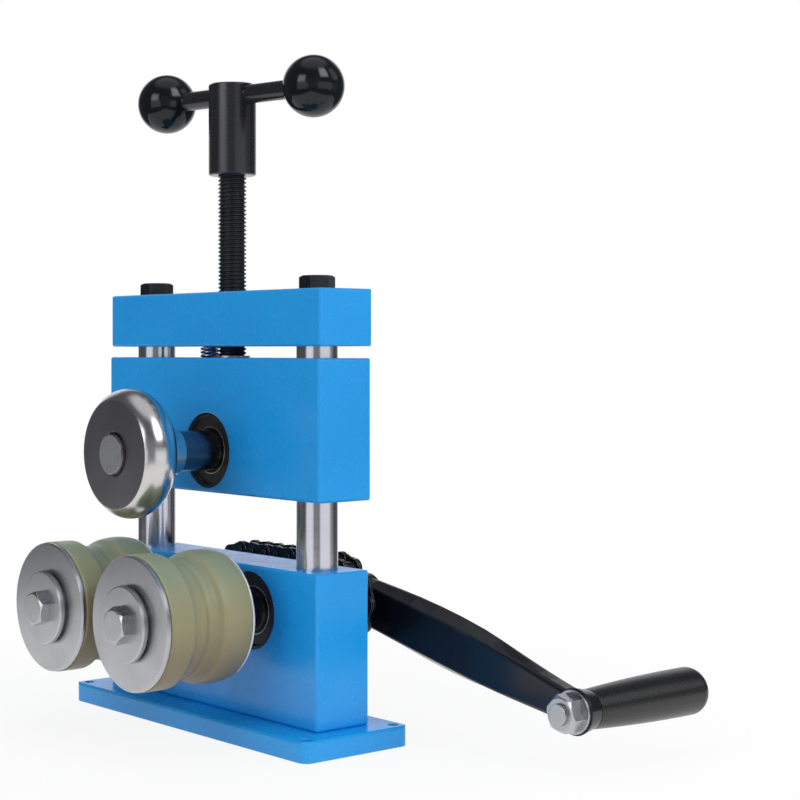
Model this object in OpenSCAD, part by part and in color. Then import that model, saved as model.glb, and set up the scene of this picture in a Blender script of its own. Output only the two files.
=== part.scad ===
// Bench ring roller: two lower rollers driven by a crank and a chain, and an
// upper roller that a screw presses down between them.
// X runs along the blocks, Y from the rollers (front) to the crank (rear), Z up.
// The origin is on the underside of the base, below the pressing screw.

/* [Base] */
// Length of the base plate along X
base_w = 243; // [232:1:260]
// Depth of the base plate along Y
base_d = 80; // [70:1:100]
// Thickness of the base plate
base_t = 12; // [9:0.5:16]
// Radius of the base plate's upright corners
base_corner_r = 6; // [3:0.5:12]
// How far the plate's middle lies to the right of the screw
base_shift_x = 2.2; // [-3:0.1:5]
// How far the plate's middle lies behind the screw
base_shift_y = -1.8; // [-4:0.1:4]
// Diameter of the four bench holes
bench_hole_d = 6.6; // [4:0.1:9]
// Distance of the bench holes from the plate's edges
bench_hole_inset = 7; // [6:0.5:10]
// Thread diameter of the screws that hold the lower block down
base_screw_d = 8; // [6:0.5:10]
// How far those screws reach into the lower block
base_screw_grip = 18; // [12:1:22]

/* [Blocks] */
// Depth of the three blocks along Y
block_d = 40; // [38:0.5:44]
// Length of the upper block
upper_block_w = 220; // [208:1:240]
// Height of the upper block
upper_block_h = 84; // [80:0.5:90]
// Length of the lower block
lower_block_w = 216; // [208:1:240]
// Height of the lower block
lower_block_h = 91.6; // [90:0.2:96]
// Gap between the blocks with the roller raised as shown
block_gap = 41.4; // [38:0.2:44]
// Length of the top bar
bar_w = 220; // [208:1:240]
// Height of the top bar
bar_h = 34; // [32:0.5:40]
// Gap between the upper block and the top bar
bar_gap = 7; // [6.5:0.25:12]
// Setback of the bar's front from the upper block's front
bar_setback = 1; // [0:0.25:2]
// Bevel along every edge of the blocks
edge_bevel = 1.2; // [0.4:0.1:2]

/* [Guide posts] */
// Diameter of the guide posts
post_d = 25; // [20:0.5:28]
// Distance between the guide posts
post_spacing = 168; // [166:1:176]
// How far the posts are pressed into the lower block
post_seat = 53; // [30:1:60]
// How far the posts enter the top bar
post_bar_seat = 14; // [8:1:20]
// Thread diameter of the post bolts
post_bolt_d = 12; // [8:0.5:14]
// Height of a post bolt's head
post_bolt_head_h = 8.2; // [5:0.1:10]
// Width across flats of the post bolts, the roller bolts and the grip nut
hex_flats = 19; // [17:0.5:21]

/* [Bearings] */
// Bore of the bearings, which is the shafts' diameter
bearing_bore = 25; // [24:0.25:26]
// Outer diameter of the bearings
bearing_od = 47; // [46:0.25:48]
// Width of the bearings
bearing_w = 12; // [11:0.25:13]
// Diameter of a bearing's balls
ball_d = 6.35; // [6:0.05:6.6]
// Number of balls in a bearing
ball_count = 9; // [7:1:10]
// Thickness of the retaining rings in the blocks
clip_t = 1.75; // [1.25:0.05:2]
// Depth of the retaining rings below the blocks' faces
clip_depth = 1; // [0.6:0.1:2]

/* [Rollers] */
// Height of the lower roller axes above the base's underside
lower_axis_z = 76.2; // [75:0.2:80]
// Height of the upper roller's axis above the upper block's underside
upper_axis_rise = 26.2; // [25.5:0.1:30]
// Distance of the bending plane in front of the screw
work_reach = 77.5; // [75:0.5:84]
// Largest diameter of the upper roller
upper_roller_d = 78.6; // [70:0.2:80]
// Radius of the upper roller's crown
crown_r = 14.4; // [13:0.1:16]
// Upper roller's front face, in front of the bending plane
crown_front = 11.6; // [10:0.1:12]
// Upper roller's rear face, behind the bending plane
crown_rear = 11; // [9:0.25:12]
// Diameter of the hub behind the upper roller
hub_d = 28.6; // [27.6:0.2:34]
// Length of the hub behind the upper roller
hub_len = 22; // [16:0.5:28]
// Length of upper shaft that stands proud of the roller
shaft_proud = 2.6; // [0.5:0.1:5]
// Diameter of the lower rollers' polyurethane tyres
tyre_d = 79.2; // [76:0.2:82]
// Bore of the polyurethane tyres
tyre_bore = 50; // [44:0.5:56]
// Smallest radius of the tyre's groove
groove_floor_r = 35.4; // [33.5:0.1:38]
// Half width of the groove at its rims
groove_reach = 12.2; // [10:0.1:13]
// Tyre's front end, in front of the bending plane
tyre_front = 27; // [20:0.5:30]
// Tyre's rear end, behind the bending plane
tyre_rear = 30.6; // [22:0.2:32]
// Radius of the rounding behind the groove
tyre_shoulder_r = 40; // [38:1:80]
// How far that rounding's crest lies behind the bending plane
tyre_crest = 21; // [15:0.25:22]
// Diameter of the lower rollers' front flange
front_flange_d = 78.4; // [74:0.2:80]
// Diameter of the lower rollers' rear flange
rear_flange_d = 76; // [70:0.2:77]
// Thickness of the front flange
flange_t = 3.2; // [2:0.1:5]
// Thickness of the rear flange
rear_flange_t = 2.2; // [2:0.1:5]
// Diameter of the step washer under the roller bolt
step_washer_d = 44.8; // [42:0.2:50]
// Thickness of the step washer
step_washer_t = 5; // [4:0.25:6]
// Diameter of the shaft ends that carry the lower rollers
roller_seat_d = 20; // [18:0.5:22]
// Thread diameter of the roller bolts
roller_bolt_d = 12; // [8:0.5:12]
// Height of a roller bolt's head
roller_bolt_head_h = 6.2; // [5:0.2:10]
// Angle of the drive roller bolt's head
drive_bolt_turn = 37; // [0:1:60]
// Angle of the driven roller bolt's head
driven_bolt_turn = 18; // [0:1:60]

/* [Chain drive] */
// Pitch of the chain
chain_pitch = 12.7; // [12.4:0.05:13]
// Number of teeth on both sprockets
teeth = 12; // [12:2:12]
// Pitches of each straight run between the sprockets
run_links = 7; // [7:2:7]
// Distance of the chain's middle behind the screw
chain_y = 47.25; // [46:0.25:50]
// Diameter of the chain's rollers
chain_roller_d = 8.51; // [8.2:0.01:8.6]
// Diameter of the chain's pins
chain_pin_d = 4.45; // [4:0.05:4.6]
// Distance between the inner plates
chain_inner_w = 7.75; // [7.5:0.05:8]
// Height of the chain's plates
chain_plate_h = 12; // [11:0.1:12]
// Thickness of the chain's plates
chain_plate_t = 1.5; // [1.2:0.05:1.6]
// Width of the sprocket's teeth
tooth_w = 7.2; // [6.5:0.1:7.3]
// Diameter over the sprocket's tooth tips
tip_d = 54.6; // [53:0.1:55]
// Diameter of the sprocket's hub
sprocket_hub_d = 29; // [27:0.2:31]

/* [Crank] */
// Distance from the drive shaft to the grip
crank_len = 192.5; // [182:0.5:204]
// Angle of the crank below the horizontal
crank_drop = 12.74; // [0:0.02:16]
// Distance of the arm's front face behind the screw
arm_y = 62; // [60.5:0.5:66]
// Thickness of the arm
arm_t = 11.5; // [9:0.5:14]
// Radius of the arm's edges
arm_edge_r = 2.2; // [1:0.1:3]
// Diameter of the crank's root boss
root_boss_d = 31; // [28:0.5:34]
// Length of the crank's root boss
root_boss_len = 24.5; // [20:0.5:30]
// Diameter of the drive shaft's crank seat
crank_seat_d = 16; // [14:0.5:18]
// Front diameter of the tip boss
tip_boss_d = 26.6; // [24:0.2:28]
// Rear diameter of the tip boss
tip_boss_rear_d = 22.4; // [20:0.2:24]
// Length of the tip boss
tip_boss_len = 10.5; // [8:0.5:14]
// Length of the grip
grip_len = 94.5; // [80:0.5:110]
// Diameter of the grip at its swell
grip_d = 28; // [26:0.2:30]
// Diameter of the grip at its collar
grip_collar_d = 22.4; // [20:0.2:24]
// Radius of the grip's free end
grip_end_r = 9; // [5:0.5:11]
// Diameter of the spindle inside the grip
spindle_d = 12; // [9:0.5:13]
// Thickness of the grip nut
grip_nut_h = 10; // [7:0.5:11]
// Thickness of the washer under the grip nut
grip_washer_t = 2; // [1:0.25:3]

/* [Pressing screw] */
// Diameter of the pressing screw
screw_d = 18; // [16:0.5:20]
// Depth of the screw's seat in the upper block
screw_seat = 10; // [6:0.5:14]
// Length of screw that shows between the bar and the handle's hub
screw_free = 73.9; // [60:0.5:90]
// Diameter of the handle's hub
handle_hub_d = 30; // [28:0.5:34]
// Height of the handle's hub
handle_hub_h = 57.4; // [45:0.5:64]
// Diameter of the cross bar
cross_bar_d = 12; // [10:0.5:14]
// Depth of the cross bar's axis below the hub's top
cross_bar_drop = 7.2; // [7.2:0.1:12]
// Distance between the ball knobs
knob_spacing = 125; // [115:1:140]
// Shift of the cross bar along itself
cross_bar_shift = 4.6; // [0:0.2:8]
// Diameter of the ball knobs
knob_d = 38; // [32:0.5:42]
// Angle of the handle about the screw
handle_turn = 10.4; // [0:0.4:20]
// Diameter of the thrust washer
thrust_washer_d = 22.6; // [21.6:0.2:28]
// Thickness of the thrust washer
thrust_washer_t = 1.2; // [0.8:0.1:2]

/* [Return spring] */
// Distance of the spring from the screw
spring_x = 23.5; // [22:0.5:27]
// Outer diameter of the spring
spring_od = 12.8; // [11:0.1:13]
// Diameter of the spring's wire
spring_wire = 1.6; // [1.2:0.1:1.8]
// Number of full curls
spring_curls = 23; // [18:1:25]
// Depth of the spring's hole in the upper block
spring_hole_depth = 36; // [34:0.5:37]
// Depth of the spring's hole in the top bar
spring_bar_depth = 26; // [20:0.5:30]

/* [Hidden] */
$fn = 96;
// Running clearance of shafts and slides, on the radius
run_gap = 0.05;
// Gap left between pieces that are pressed or screwed together, on the radius
seat_gap = 0.02;
// Gap left between faces that slide or turn past each other
face_gap = 0.3;
// How far a cut runs past the surface that it opens
over = 1;
// Width of a key and of its keyway's sides
key_w = 6;
// Depth of a key in the shaft
key_seat = 3.5;
// Height of a key
key_h = 6;
// Small bevel on turned edges
turn_bevel = 0.8;
// Bevel at the mouth of the upper roller's bore
bore_bevel = 1.2;
// Diameter of a bolt head's flat top as a share of its width across flats
head_flat_share = 0.94;
// Clearance of the post bolts in the bar, on the radius
bolt_clearance = 0.25;
// Depth of the post bolts' threads in the posts
post_bolt_grip = 22;
// Places of the base screws along the lower block, as shares of half its length
base_screw_shares = [-0.85, -0.2, 0.2, 0.85];
// Diameter and depth of a base screw's countersunk head
base_screw_head_d = 15;
base_screw_head_h = 4;
// Width and depth of the hexagon socket in that head
base_socket_w = 5;
base_socket_depth = 2.6;
// Depth of the roller bolts' threads in the shafts
roller_bolt_grip = 30;
// Step behind the step washer's disc
step_boss_d = 38;
step_boss_t = 1.3;
// Keys: seat depth in the crank seat, and the crank key's size
crank_key_w = 5;
crank_key_seat = 3;
// Thickness of the shaft clips and depth of their grooves
shaft_clip_t = 1.2;
shaft_clip_groove = 0.6;
shaft_clip_w = 2.6;
// Spindle's flange inside the grip's mouth
spindle_flange_d = 18;
spindle_flange_t = 3;
// Length of spindle that stands proud of the grip nut
spindle_proud = 2;
// Length of spindle inside the grip
spindle_reach = 75;
// Snap ring near the spindle's end
grip_clip_t = 1.2;
grip_clip_w = 2.4;
grip_clip_seat = 0.8;
grip_clip_back = 5;
// Crank screw and its washer
crank_screw_d = 8;
crank_screw_grip = 20;
crank_screw_flats = 13;
crank_screw_head_h = 5.5;
crank_washer_d = 24;
crank_washer_t = 2.5;
// Thickness of the plugs that hold the spring's ends
spring_plug_t = 4;
// Clearance of the spring in its holes, on the radius
spring_hole_gap = 0.6;
// Distance of the spring's end legs from its axis
spring_leg_r = 1.7;
// Rise of the wire while it turns from a leg into its first curl
spring_bend = 0.9;
// Depth of the handle's hub on the screw
screw_hub_seat = 32;
// How far the cross bar enters a ball knob
knob_seat = 14;
// Teeth: angle of a flank to the middle of its gap, and side bevel
tooth_flank_turn = 24;
tooth_bevel = 1;
// Clearance of the chain's rollers in the sprocket's gaps
tooth_seat_gap = 0.05;
// Half heights of a chain plate at its waist and flanks, as shares of its full height
plate_waist_share = 0.44;
plate_flank_share = 0.47;
plate_waist_r = 9;
// Gap between a chain's inner and outer plates
plate_gap = 0.2;
// Length of chain pin that stands proud of the outer plate
pin_proud = 1.1;
// Wall of a chain roller
chain_roller_wall = 1.05;
// Shoulder that a bearing's outer ring sits against
bearing_shoulder = 3.5;
// Radius of the ball races as a share of the ball's, and how near their edges come to the
// balls' middle, as a share of the ball's diameter
race_share = 1.04;
race_edge_share = 0.42;
// Thickness of the bearing rings where they show
outer_ring_t = 1.9;
inner_ring_t = 2.3;
// Depth of the retaining rings' grooves below the bearing's seat
clip_groove_depth = 1.25;
// Front end of a lower shaft, behind the flange's front face
seat_short = 1;
// Length of the roller key, the sprocket key and the crank key
key_len = 30;
sprocket_key_len = 18;
crank_key_len = 16;
// Length of shaft behind its clip
shaft_tail = 2;
// Steps in a corner of the arm's section
arm_corner_steps = 3;
// Groove's section from its rim to its floor, as shares of its half width and of its depth
groove_shares = [[1, 0], [0.92, 0.14], [0.8, 0.57], [0.67, 0.86], [0.5, 1]];
// Places of the arm's sections along the crank, as shares of its length
arm_station_shares = [0, 0.062, 0.166, 0.26, 0.353, 0.457, 0.561,
    0.634, 0.701, 0.769, 0.831, 0.883, 0.935, 1];
// Half widths of the arm's front and rear faces there, as shares of the root boss's radius
arm_front_shares = [0.839, 0.85, 0.857, 0.858, 0.858, 0.857, 0.845,
    0.82, 0.785, 0.735, 0.68, 0.635, 0.595, 0.56];
arm_rear_shares = [0.903, 0.975, 1.06, 1.12, 1.15, 1.145, 1.085,
    0.99, 0.885, 0.785, 0.7, 0.64, 0.59, 0.55];
// Rings per curl of the spring and sides of its wire
curl_rings = 8;
wire_sides = 6;
// Steps in each part of the grip's outline
grip_steps = 12;

lower_block_top = base_t + lower_block_h;
upper_block_z = lower_block_top + block_gap;
upper_block_top = upper_block_z + upper_block_h;
bar_z = upper_block_top + bar_gap;
bar_top = bar_z + bar_h;
post_x = post_spacing / 2;
post_foot_z = lower_block_top - post_seat;
post_top_z = bar_z + post_bar_seat;

shaft_r = bearing_bore / 2;
pitch_r = chain_pitch / (2 * sin(180 / teeth));
axis_x = run_links * chain_pitch / 2;
upper_axis_z = upper_block_z + upper_axis_rise;
work_y = -work_reach;
bearing_in = block_d / 2 - clip_depth - clip_t - run_gap;
bearing_out = bearing_in - bearing_w;
bearing_shoulder_r = bearing_od / 2 - bearing_shoulder;

// Bearing rings and seals
ball_pitch_r = (bearing_bore + bearing_od) / 4;
race_r = ball_d / 2 * race_share;
race_gap = 0.03;
outer_ring_r = ball_pitch_r + ball_d * race_edge_share;
inner_ring_r = ball_pitch_r - ball_d * race_edge_share;
seal_r = bearing_od / 2 - outer_ring_t;
seal_lip_r = bearing_bore / 2 + inner_ring_t;
seal_t = 0.8;
seal_depth = 0.3;
ball_y = (bearing_in + bearing_out) / 2;

bench_hole_x = base_w / 2 - bench_hole_inset;
bench_hole_y = base_d / 2 - bench_hole_inset;

// Places along Y on the upper and lower shafts
crown_front_y = work_y - crown_front;
crown_rear_y = work_y + crown_rear;
tyre_front_y = work_y - tyre_front;
tyre_rear_y = work_y + tyre_rear;
core_rear_y = tyre_rear_y + rear_flange_t;
flange_front_y = tyre_front_y - flange_t;
seat_front_y = flange_front_y + seat_short;
roller_bolt_len = step_washer_t + seat_short + roller_bolt_grip;
hub_front_y = bearing_in + run_gap;
key_front_y = work_y - key_len / 2;
sprocket_key_y = hub_front_y + key_w;
sprocket_rear_y = chain_y + tooth_w / 2;
root_boss_y = sprocket_rear_y + face_gap;
crank_rear_y = root_boss_y + root_boss_len;
crank_key_y = root_boss_y + (root_boss_len - crank_key_len) / 2;
tip_boss_y = arm_y + tip_boss_len;
nut_front_y = arm_y - grip_washer_t - grip_nut_h;
grip_y = tip_boss_y + face_gap;
grip_clip_y = tip_boss_y + spindle_reach - grip_clip_back;
grip_clip_r = spindle_d / 2 + grip_clip_w;
grip_chamber_y = tip_boss_y + spindle_reach + grip_clip_back;

// Handle
hub_z = bar_top + screw_free;
cross_bar_z = hub_z + handle_hub_h - cross_bar_drop;
cross_bar_len = knob_spacing - knob_d + 2 * knob_seat;

// Return spring
spring_hole_r = spring_od / 2 + spring_hole_gap;
spring_coil_r = (spring_od - spring_wire) / 2;
spring_bottom_z = upper_block_top - spring_hole_depth + spring_plug_t;
spring_top_z = bar_z + spring_bar_depth - spring_plug_t;
spring_steps = (spring_curls + 2) * curl_rings;
spring_rings = spring_steps + 5;
spring_rise = spring_top_z - spring_bottom_z - 2 * (spring_wire + spring_bend);

// Retaining rings in the blocks
clip_groove_r = bearing_od / 2 + clip_groove_depth;
clip_w = 3.1;
clip_lug_r = 2.4;
clip_lug_hole_r = 1;
clip_lug_turn = 13;

// Chain
chain_links = 2 * run_links + teeth;
tooth_seat_r = chain_roller_d / 2 + tooth_seat_gap;
bush_r = chain_roller_d / 2 - chain_roller_wall;
inner_plate_y = chain_inner_w / 2;
outer_plate_y = inner_plate_y + chain_plate_t + plate_gap;
chain_pin_half = outer_plate_y + chain_plate_t + pin_proud;

// A solid turned about a horizontal axis along Y, from a profile in (radius, Y)
module turned(x, z) {
    translate([x, 0, z]) rotate([-90, 0, 0]) rotate_extrude() children();
}

// Rectangular stretch of a turned profile
module band(r0, r1, y0, y1) {
    translate([r0, y0]) square([r1 - r0, y1 - y0]);
}

// The same with both outer edges bevelled
module bevel_band(r0, r1, y0, y1, c) {
    polygon([[r0, y0], [r1 - c, y0], [r1, y0 + c], [r1, y1 - c], [r1 - c, y1], [r0, y1]]);
}

// A flat shape in X and Z, given thickness from y0 to y1
module plate_xz(x, z, y0, y1) {
    translate([x, y1, z]) rotate([90, 0, 0]) linear_extrude(y1 - y0) children();
}

// Rectangle with cut corners, centred
module cut_rect(w, d, c) {
    polygon([
        [c - w / 2, -d / 2], [w / 2 - c, -d / 2], [w / 2, c - d / 2], [w / 2, d / 2 - c],
        [w / 2 - c, d / 2], [c - w / 2, d / 2], [-w / 2, d / 2 - c], [-w / 2, c - d / 2]
    ]);
}

// Rectangle with round corners, centred
module round_rect(w, d, r) {
    square([w - 2 * r, d], center = true);
    square([w, d - 2 * r], center = true);
    for (x = [r - w / 2, w / 2 - r], y = [r - d / 2, d / 2 - r]) translate([x, y]) circle(r = r);
}

// Block with all twelve edges bevelled, standing on z = 0
module bevelled_block(w, d, h, c) {
    intersection() {
        linear_extrude(h) cut_rect(w, d, c);
        translate([0, d / 2, h / 2]) rotate([90, 0, 0]) linear_extrude(d) cut_rect(w, h, c);
        translate([-w / 2, 0, h / 2]) rotate([90, 0, 90]) linear_extrude(w) cut_rect(d, h, c);
    }
}

// Bevelled hexagon head, standing on z = 0
module hex_head(flats, h) {
    corner_r = flats / 2 / cos(30);
    cone_r = corner_r + over;
    flat_r = flats / 2 * head_flat_share;
    intersection() {
        cylinder(h = h, r = corner_r, $fn = 6);
        rotate_extrude() polygon([
            [0, 0], [cone_r, 0], [cone_r, h - (cone_r - flat_r) * tan(30)], [flat_r, h], [0, h]
        ]);
    }
}

// Room for a key, or the key itself when gap is zero
module key_box(x, r, y0, y1, w, seat, h, gap) {
    translate([x - w / 2 - gap, y0 - gap, lower_axis_z + r - seat - gap])
        cube([w + 2 * gap, y1 - y0 + 2 * gap, h + 2 * gap]);
}

// Tube or bar with triangle faces through rings of points
module skin(rings) {
    m = len(rings[0]);
    last = (len(rings) - 1) * m;
    polyhedron(
        points = [for (ring = rings) for (p = ring) p],
        faces = concat(
            [for (i = [0 : len(rings) - 2], j = [0 : m - 1])
                [i * m + j, (i + 1) * m + (j + 1) % m, i * m + (j + 1) % m]],
            [for (i = [0 : len(rings) - 2], j = [0 : m - 1])
                [i * m + j, (i + 1) * m + j, (i + 1) * m + (j + 1) % m]],
            [for (j = [1 : m - 2]) [0, j, j + 1]],
            [for (j = [1 : m - 2]) [last, last + j + 1, last + j]]
        )
    );
}

// Profile of a bearing's seat in a block, which is open at both faces
module bearing_seat_profile() {
    band(0, bearing_shoulder_r, -block_d / 2 - over, block_d / 2 + over);
    for (side = [0, 1]) mirror([0, side]) {
        band(0, bearing_od / 2 + seat_gap, bearing_out, block_d / 2 + over);
        band(0, clip_groove_r, bearing_in, bearing_in + clip_t + 2 * run_gap);
    }
}

module bearing_outer_ring(x, z) {
    turned(x, z) for (side = [0, 1]) mirror([0, side]) difference() {
        band(outer_ring_r, bearing_od / 2, bearing_out, bearing_in);
        translate([ball_pitch_r - race_gap, ball_y]) circle(r = race_r);
        for (y0 = [bearing_out - over, bearing_in - seal_depth - seal_t])
            band(outer_ring_r - over, seal_r, y0, y0 + over + seal_depth + seal_t);
    }
}

module bearing_inner_ring(x, z) {
    turned(x, z) for (side = [0, 1]) mirror([0, side]) difference() {
        band(bearing_bore / 2 + seat_gap, inner_ring_r, bearing_out, bearing_in);
        translate([ball_pitch_r + race_gap, ball_y]) circle(r = race_r);
        for (y0 = [bearing_out - over, bearing_in - seal_depth - seal_t])
            band(seal_lip_r - run_gap, inner_ring_r + over, y0, y0 + over + seal_depth + seal_t);
    }
}

module bearing_seals(x, z) {
    turned(x, z) for (side = [0, 1], y0 = [bearing_out + seal_depth, bearing_in - seal_depth - seal_t])
        mirror([0, side]) band(seal_lip_r, seal_r - seat_gap, y0, y0 + seal_t);
}

module bearing_balls(x, z) {
    for (side = [-1, 1], k = [0 : ball_count - 1]) {
        turn = k * 360 / ball_count;
        translate([x + ball_pitch_r * cos(turn), side * ball_y, z + ball_pitch_r * sin(turn)])
            sphere(d = ball_d);
    }
}

// Spring ring with two lugs, its gap turned towards -X
module retaining_ring_outline() {
    difference() {
        union() {
            difference() {
                circle(r = clip_groove_r - run_gap);
                circle(r = clip_groove_r - run_gap - clip_w);
                polygon([[0, 0], for (side = [-1, 1]) 2 * clip_groove_r
                    * [cos(180 + side * clip_lug_turn), sin(180 + side * clip_lug_turn)]]);
            }
            intersection() {
                circle(r = clip_groove_r - run_gap);
                for (side = [-1, 1]) rotate(180 + side * clip_lug_turn)
                    translate([clip_groove_r - clip_w - run_gap, 0]) circle(r = clip_lug_r);
            }
        }
        for (side = [-1, 1]) rotate(180 + side * clip_lug_turn)
            translate([clip_groove_r - clip_w - run_gap, 0]) circle(r = clip_lug_hole_r);
    }
}

module retaining_rings(x, z) {
    for (y0 = [bearing_in + run_gap, -bearing_in - run_gap - clip_t])
        plate_xz(x, z, y0, y0 + clip_t) retaining_ring_outline();
}

module base_plate() color("dodgerblue") {
    difference() {
        translate([base_shift_x, base_shift_y, 0]) intersection() {
            linear_extrude(base_t) round_rect(base_w, base_d, base_corner_r);
            translate([0, 0, -base_t]) bevelled_block(base_w, base_d, 2 * base_t, edge_bevel);
        }
        for (x = [-1, 1], y = [-1, 1])
            translate([base_shift_x + x * bench_hole_x, base_shift_y + y * bench_hole_y, -over])
                cylinder(h = base_t + 2 * over, d = bench_hole_d);
        for (share = base_screw_shares) translate([share * lower_block_w / 2, 0, 0]) {
            translate([0, 0, -over])
                cylinder(h = base_t + 2 * over, r = base_screw_d / 2 + bolt_clearance);
            translate([0, 0, -seat_gap]) countersink(seat_gap);
            translate([0, 0, -over]) cylinder(h = over, d = base_screw_head_d + 2 * seat_gap);
        }
    }
}

// Cone of a countersunk head, its wide end down on z = 0
module countersink(gap) {
    cylinder(h = base_screw_head_h + gap, r1 = base_screw_head_d / 2 + gap, r2 = base_screw_d / 2);
}

module base_screws() color("dimgray") {
    for (share = base_screw_shares) translate([share * lower_block_w / 2, 0, 0]) difference() {
        union() {
            countersink(0);
            cylinder(h = base_t + base_screw_grip, d = base_screw_d);
        }
        translate([0, 0, -over])
            cylinder(h = base_socket_depth + over, d = base_socket_w / cos(30), $fn = 6);
    }
}

module lower_block() color("dodgerblue") {
    difference() {
        translate([0, 0, base_t]) bevelled_block(lower_block_w, block_d, lower_block_h, edge_bevel);
        for (x = [-post_x, post_x]) translate([x, 0, post_foot_z])
            cylinder(h = post_seat + over, r = post_d / 2 + seat_gap);
        for (x = [-axis_x, axis_x]) turned(x, lower_axis_z) bearing_seat_profile();
        for (share = base_screw_shares) translate([share * lower_block_w / 2, 0, base_t - over])
            cylinder(h = base_screw_grip + 2 * over, r = base_screw_d / 2 + seat_gap);
    }
}

module guide_posts() color("silver") {
    for (x = [-post_x, post_x]) translate([x, 0, 0]) difference() {
        translate([0, 0, post_foot_z]) cylinder(h = post_top_z - post_foot_z, d = post_d);
        translate([0, 0, post_top_z - post_bolt_grip - over])
            cylinder(h = post_bolt_grip + 2 * over, r = post_bolt_d / 2 + seat_gap);
    }
}

module top_bar() color("dodgerblue") {
    difference() {
        translate([0, bar_setback, bar_z]) bevelled_block(bar_w, block_d, bar_h, edge_bevel);
        for (x = [-post_x, post_x]) translate([x, 0, bar_z - over]) {
            cylinder(h = post_bar_seat + over, r = post_d / 2 + seat_gap);
            cylinder(h = bar_h + 2 * over, r = post_bolt_d / 2 + bolt_clearance);
        }
        translate([0, 0, bar_z - over]) cylinder(h = bar_h + 2 * over, r = screw_d / 2 + run_gap);
        translate([-spring_x, 0, bar_z - over])
            cylinder(h = spring_bar_depth + over, r = spring_hole_r);
    }
}

module post_bolts() color("black") {
    for (x = [-post_x, post_x]) translate([x, 0, 0]) {
        translate([0, 0, bar_top]) hex_head(hex_flats, post_bolt_head_h);
        translate([0, 0, post_top_z - post_bolt_grip])
            cylinder(h = bar_top - post_top_z + post_bolt_grip, d = post_bolt_d);
    }
}

module lower_bearing_outer_rings() color("lightgray")
    for (x = [-axis_x, axis_x]) bearing_outer_ring(x, lower_axis_z);

module lower_bearing_seals() color("black")
    for (x = [-axis_x, axis_x]) bearing_seals(x, lower_axis_z);

module lower_bearing_balls() color("silver")
    for (x = [-axis_x, axis_x]) bearing_balls(x, lower_axis_z);

module lower_retaining_rings() color("dimgray")
    for (x = [-axis_x, axis_x]) retaining_rings(x, lower_axis_z);

// Centre of the chain's pin number i, which starts on the left end of the top run
function pin_at(i) =
    i <= run_links ? [i * chain_pitch - axis_x, pitch_r]
    : i < run_links + teeth / 2 ? [axis_x, 0] + wrap_at(90, i - run_links)
    : i <= 2 * run_links + teeth / 2 ? [axis_x - (i - run_links - teeth / 2) * chain_pitch, -pitch_r]
    : [-axis_x, 0] + wrap_at(-90, i - 2 * run_links - teeth / 2);

// Place on a sprocket's pitch circle, k teeth clockwise from a start angle
function wrap_at(start, k) =
    pitch_r * [cos(start - k * 360 / teeth), sin(start - k * 360 / teeth)];

// Every piece that sits on a pin, turned from a profile about Y
module on_pins() {
    for (i = [0 : chain_links - 1]) {
        p = pin_at(i);
        translate([p[0], chain_y, lower_axis_z + p[1]]) rotate([-90, 0, 0]) children();
    }
}

// A plate of every second link on each side of the chain, starting with link first
module link_plates(first, inside_y, hole_r) {
    for (i = [first : 2 : chain_links - 1], side = [0, 1]) {
        p = pin_at(i);
        q = pin_at(i + 1);
        y0 = side == 0 ? inside_y : -inside_y - chain_plate_t;
        translate([p[0], chain_y + y0 + chain_plate_t, lower_axis_z + p[1]])
            rotate([0, -atan2(q[1] - p[1], q[0] - p[0]), 0]) rotate([90, 0, 0])
                linear_extrude(chain_plate_t) plate_outline(hole_r);
    }
}

// Waisted link plate with its two holes
module plate_outline(hole_r) {
    waist = chain_plate_h * plate_waist_share;
    difference() {
        union() {
            for (x = [0, chain_pitch]) translate([x, 0]) circle(d = chain_plate_h);
            translate([0, -chain_plate_h * plate_flank_share])
                square([chain_pitch, 2 * chain_plate_h * plate_flank_share]);
        }
        for (side = [-1, 1]) translate([chain_pitch / 2, side * (waist + plate_waist_r)])
            circle(r = plate_waist_r);
        for (x = [0, chain_pitch]) translate([x, 0]) circle(r = hole_r);
    }
}

module chain_rollers() color("black")
    on_pins() difference() {
        cylinder(h = chain_inner_w - 2 * run_gap, d = chain_roller_d, center = true);
        cylinder(h = chain_inner_w + over, r = bush_r + run_gap, center = true);
    }

module chain_bushes() color("dimgray")
    on_pins() difference() {
        cylinder(h = chain_inner_w + 2 * chain_plate_t, r = bush_r, center = true);
        cylinder(h = chain_inner_w + 2 * chain_plate_t + over, r = chain_pin_d / 2 + run_gap,
            center = true);
    }

module chain_pins() color("dimgray")
    on_pins() cylinder(h = 2 * chain_pin_half, d = chain_pin_d, center = true);

module chain_inner_plates() color("black")
    link_plates(0, inner_plate_y, bush_r + seat_gap);

module chain_outer_plates() color("black")
    link_plates(1, outer_plate_y, chain_pin_d / 2 + seat_gap);

module spring_top_plug() color("gray")
    translate([-spring_x, 0, spring_top_z])
        cylinder(h = spring_plug_t, r = spring_hole_r - seat_gap);

module spring_bottom_plug() color("gray")
    translate([-spring_x, 0, spring_bottom_z - spring_plug_t])
        cylinder(h = spring_plug_t, r = spring_hole_r - seat_gap);

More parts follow.
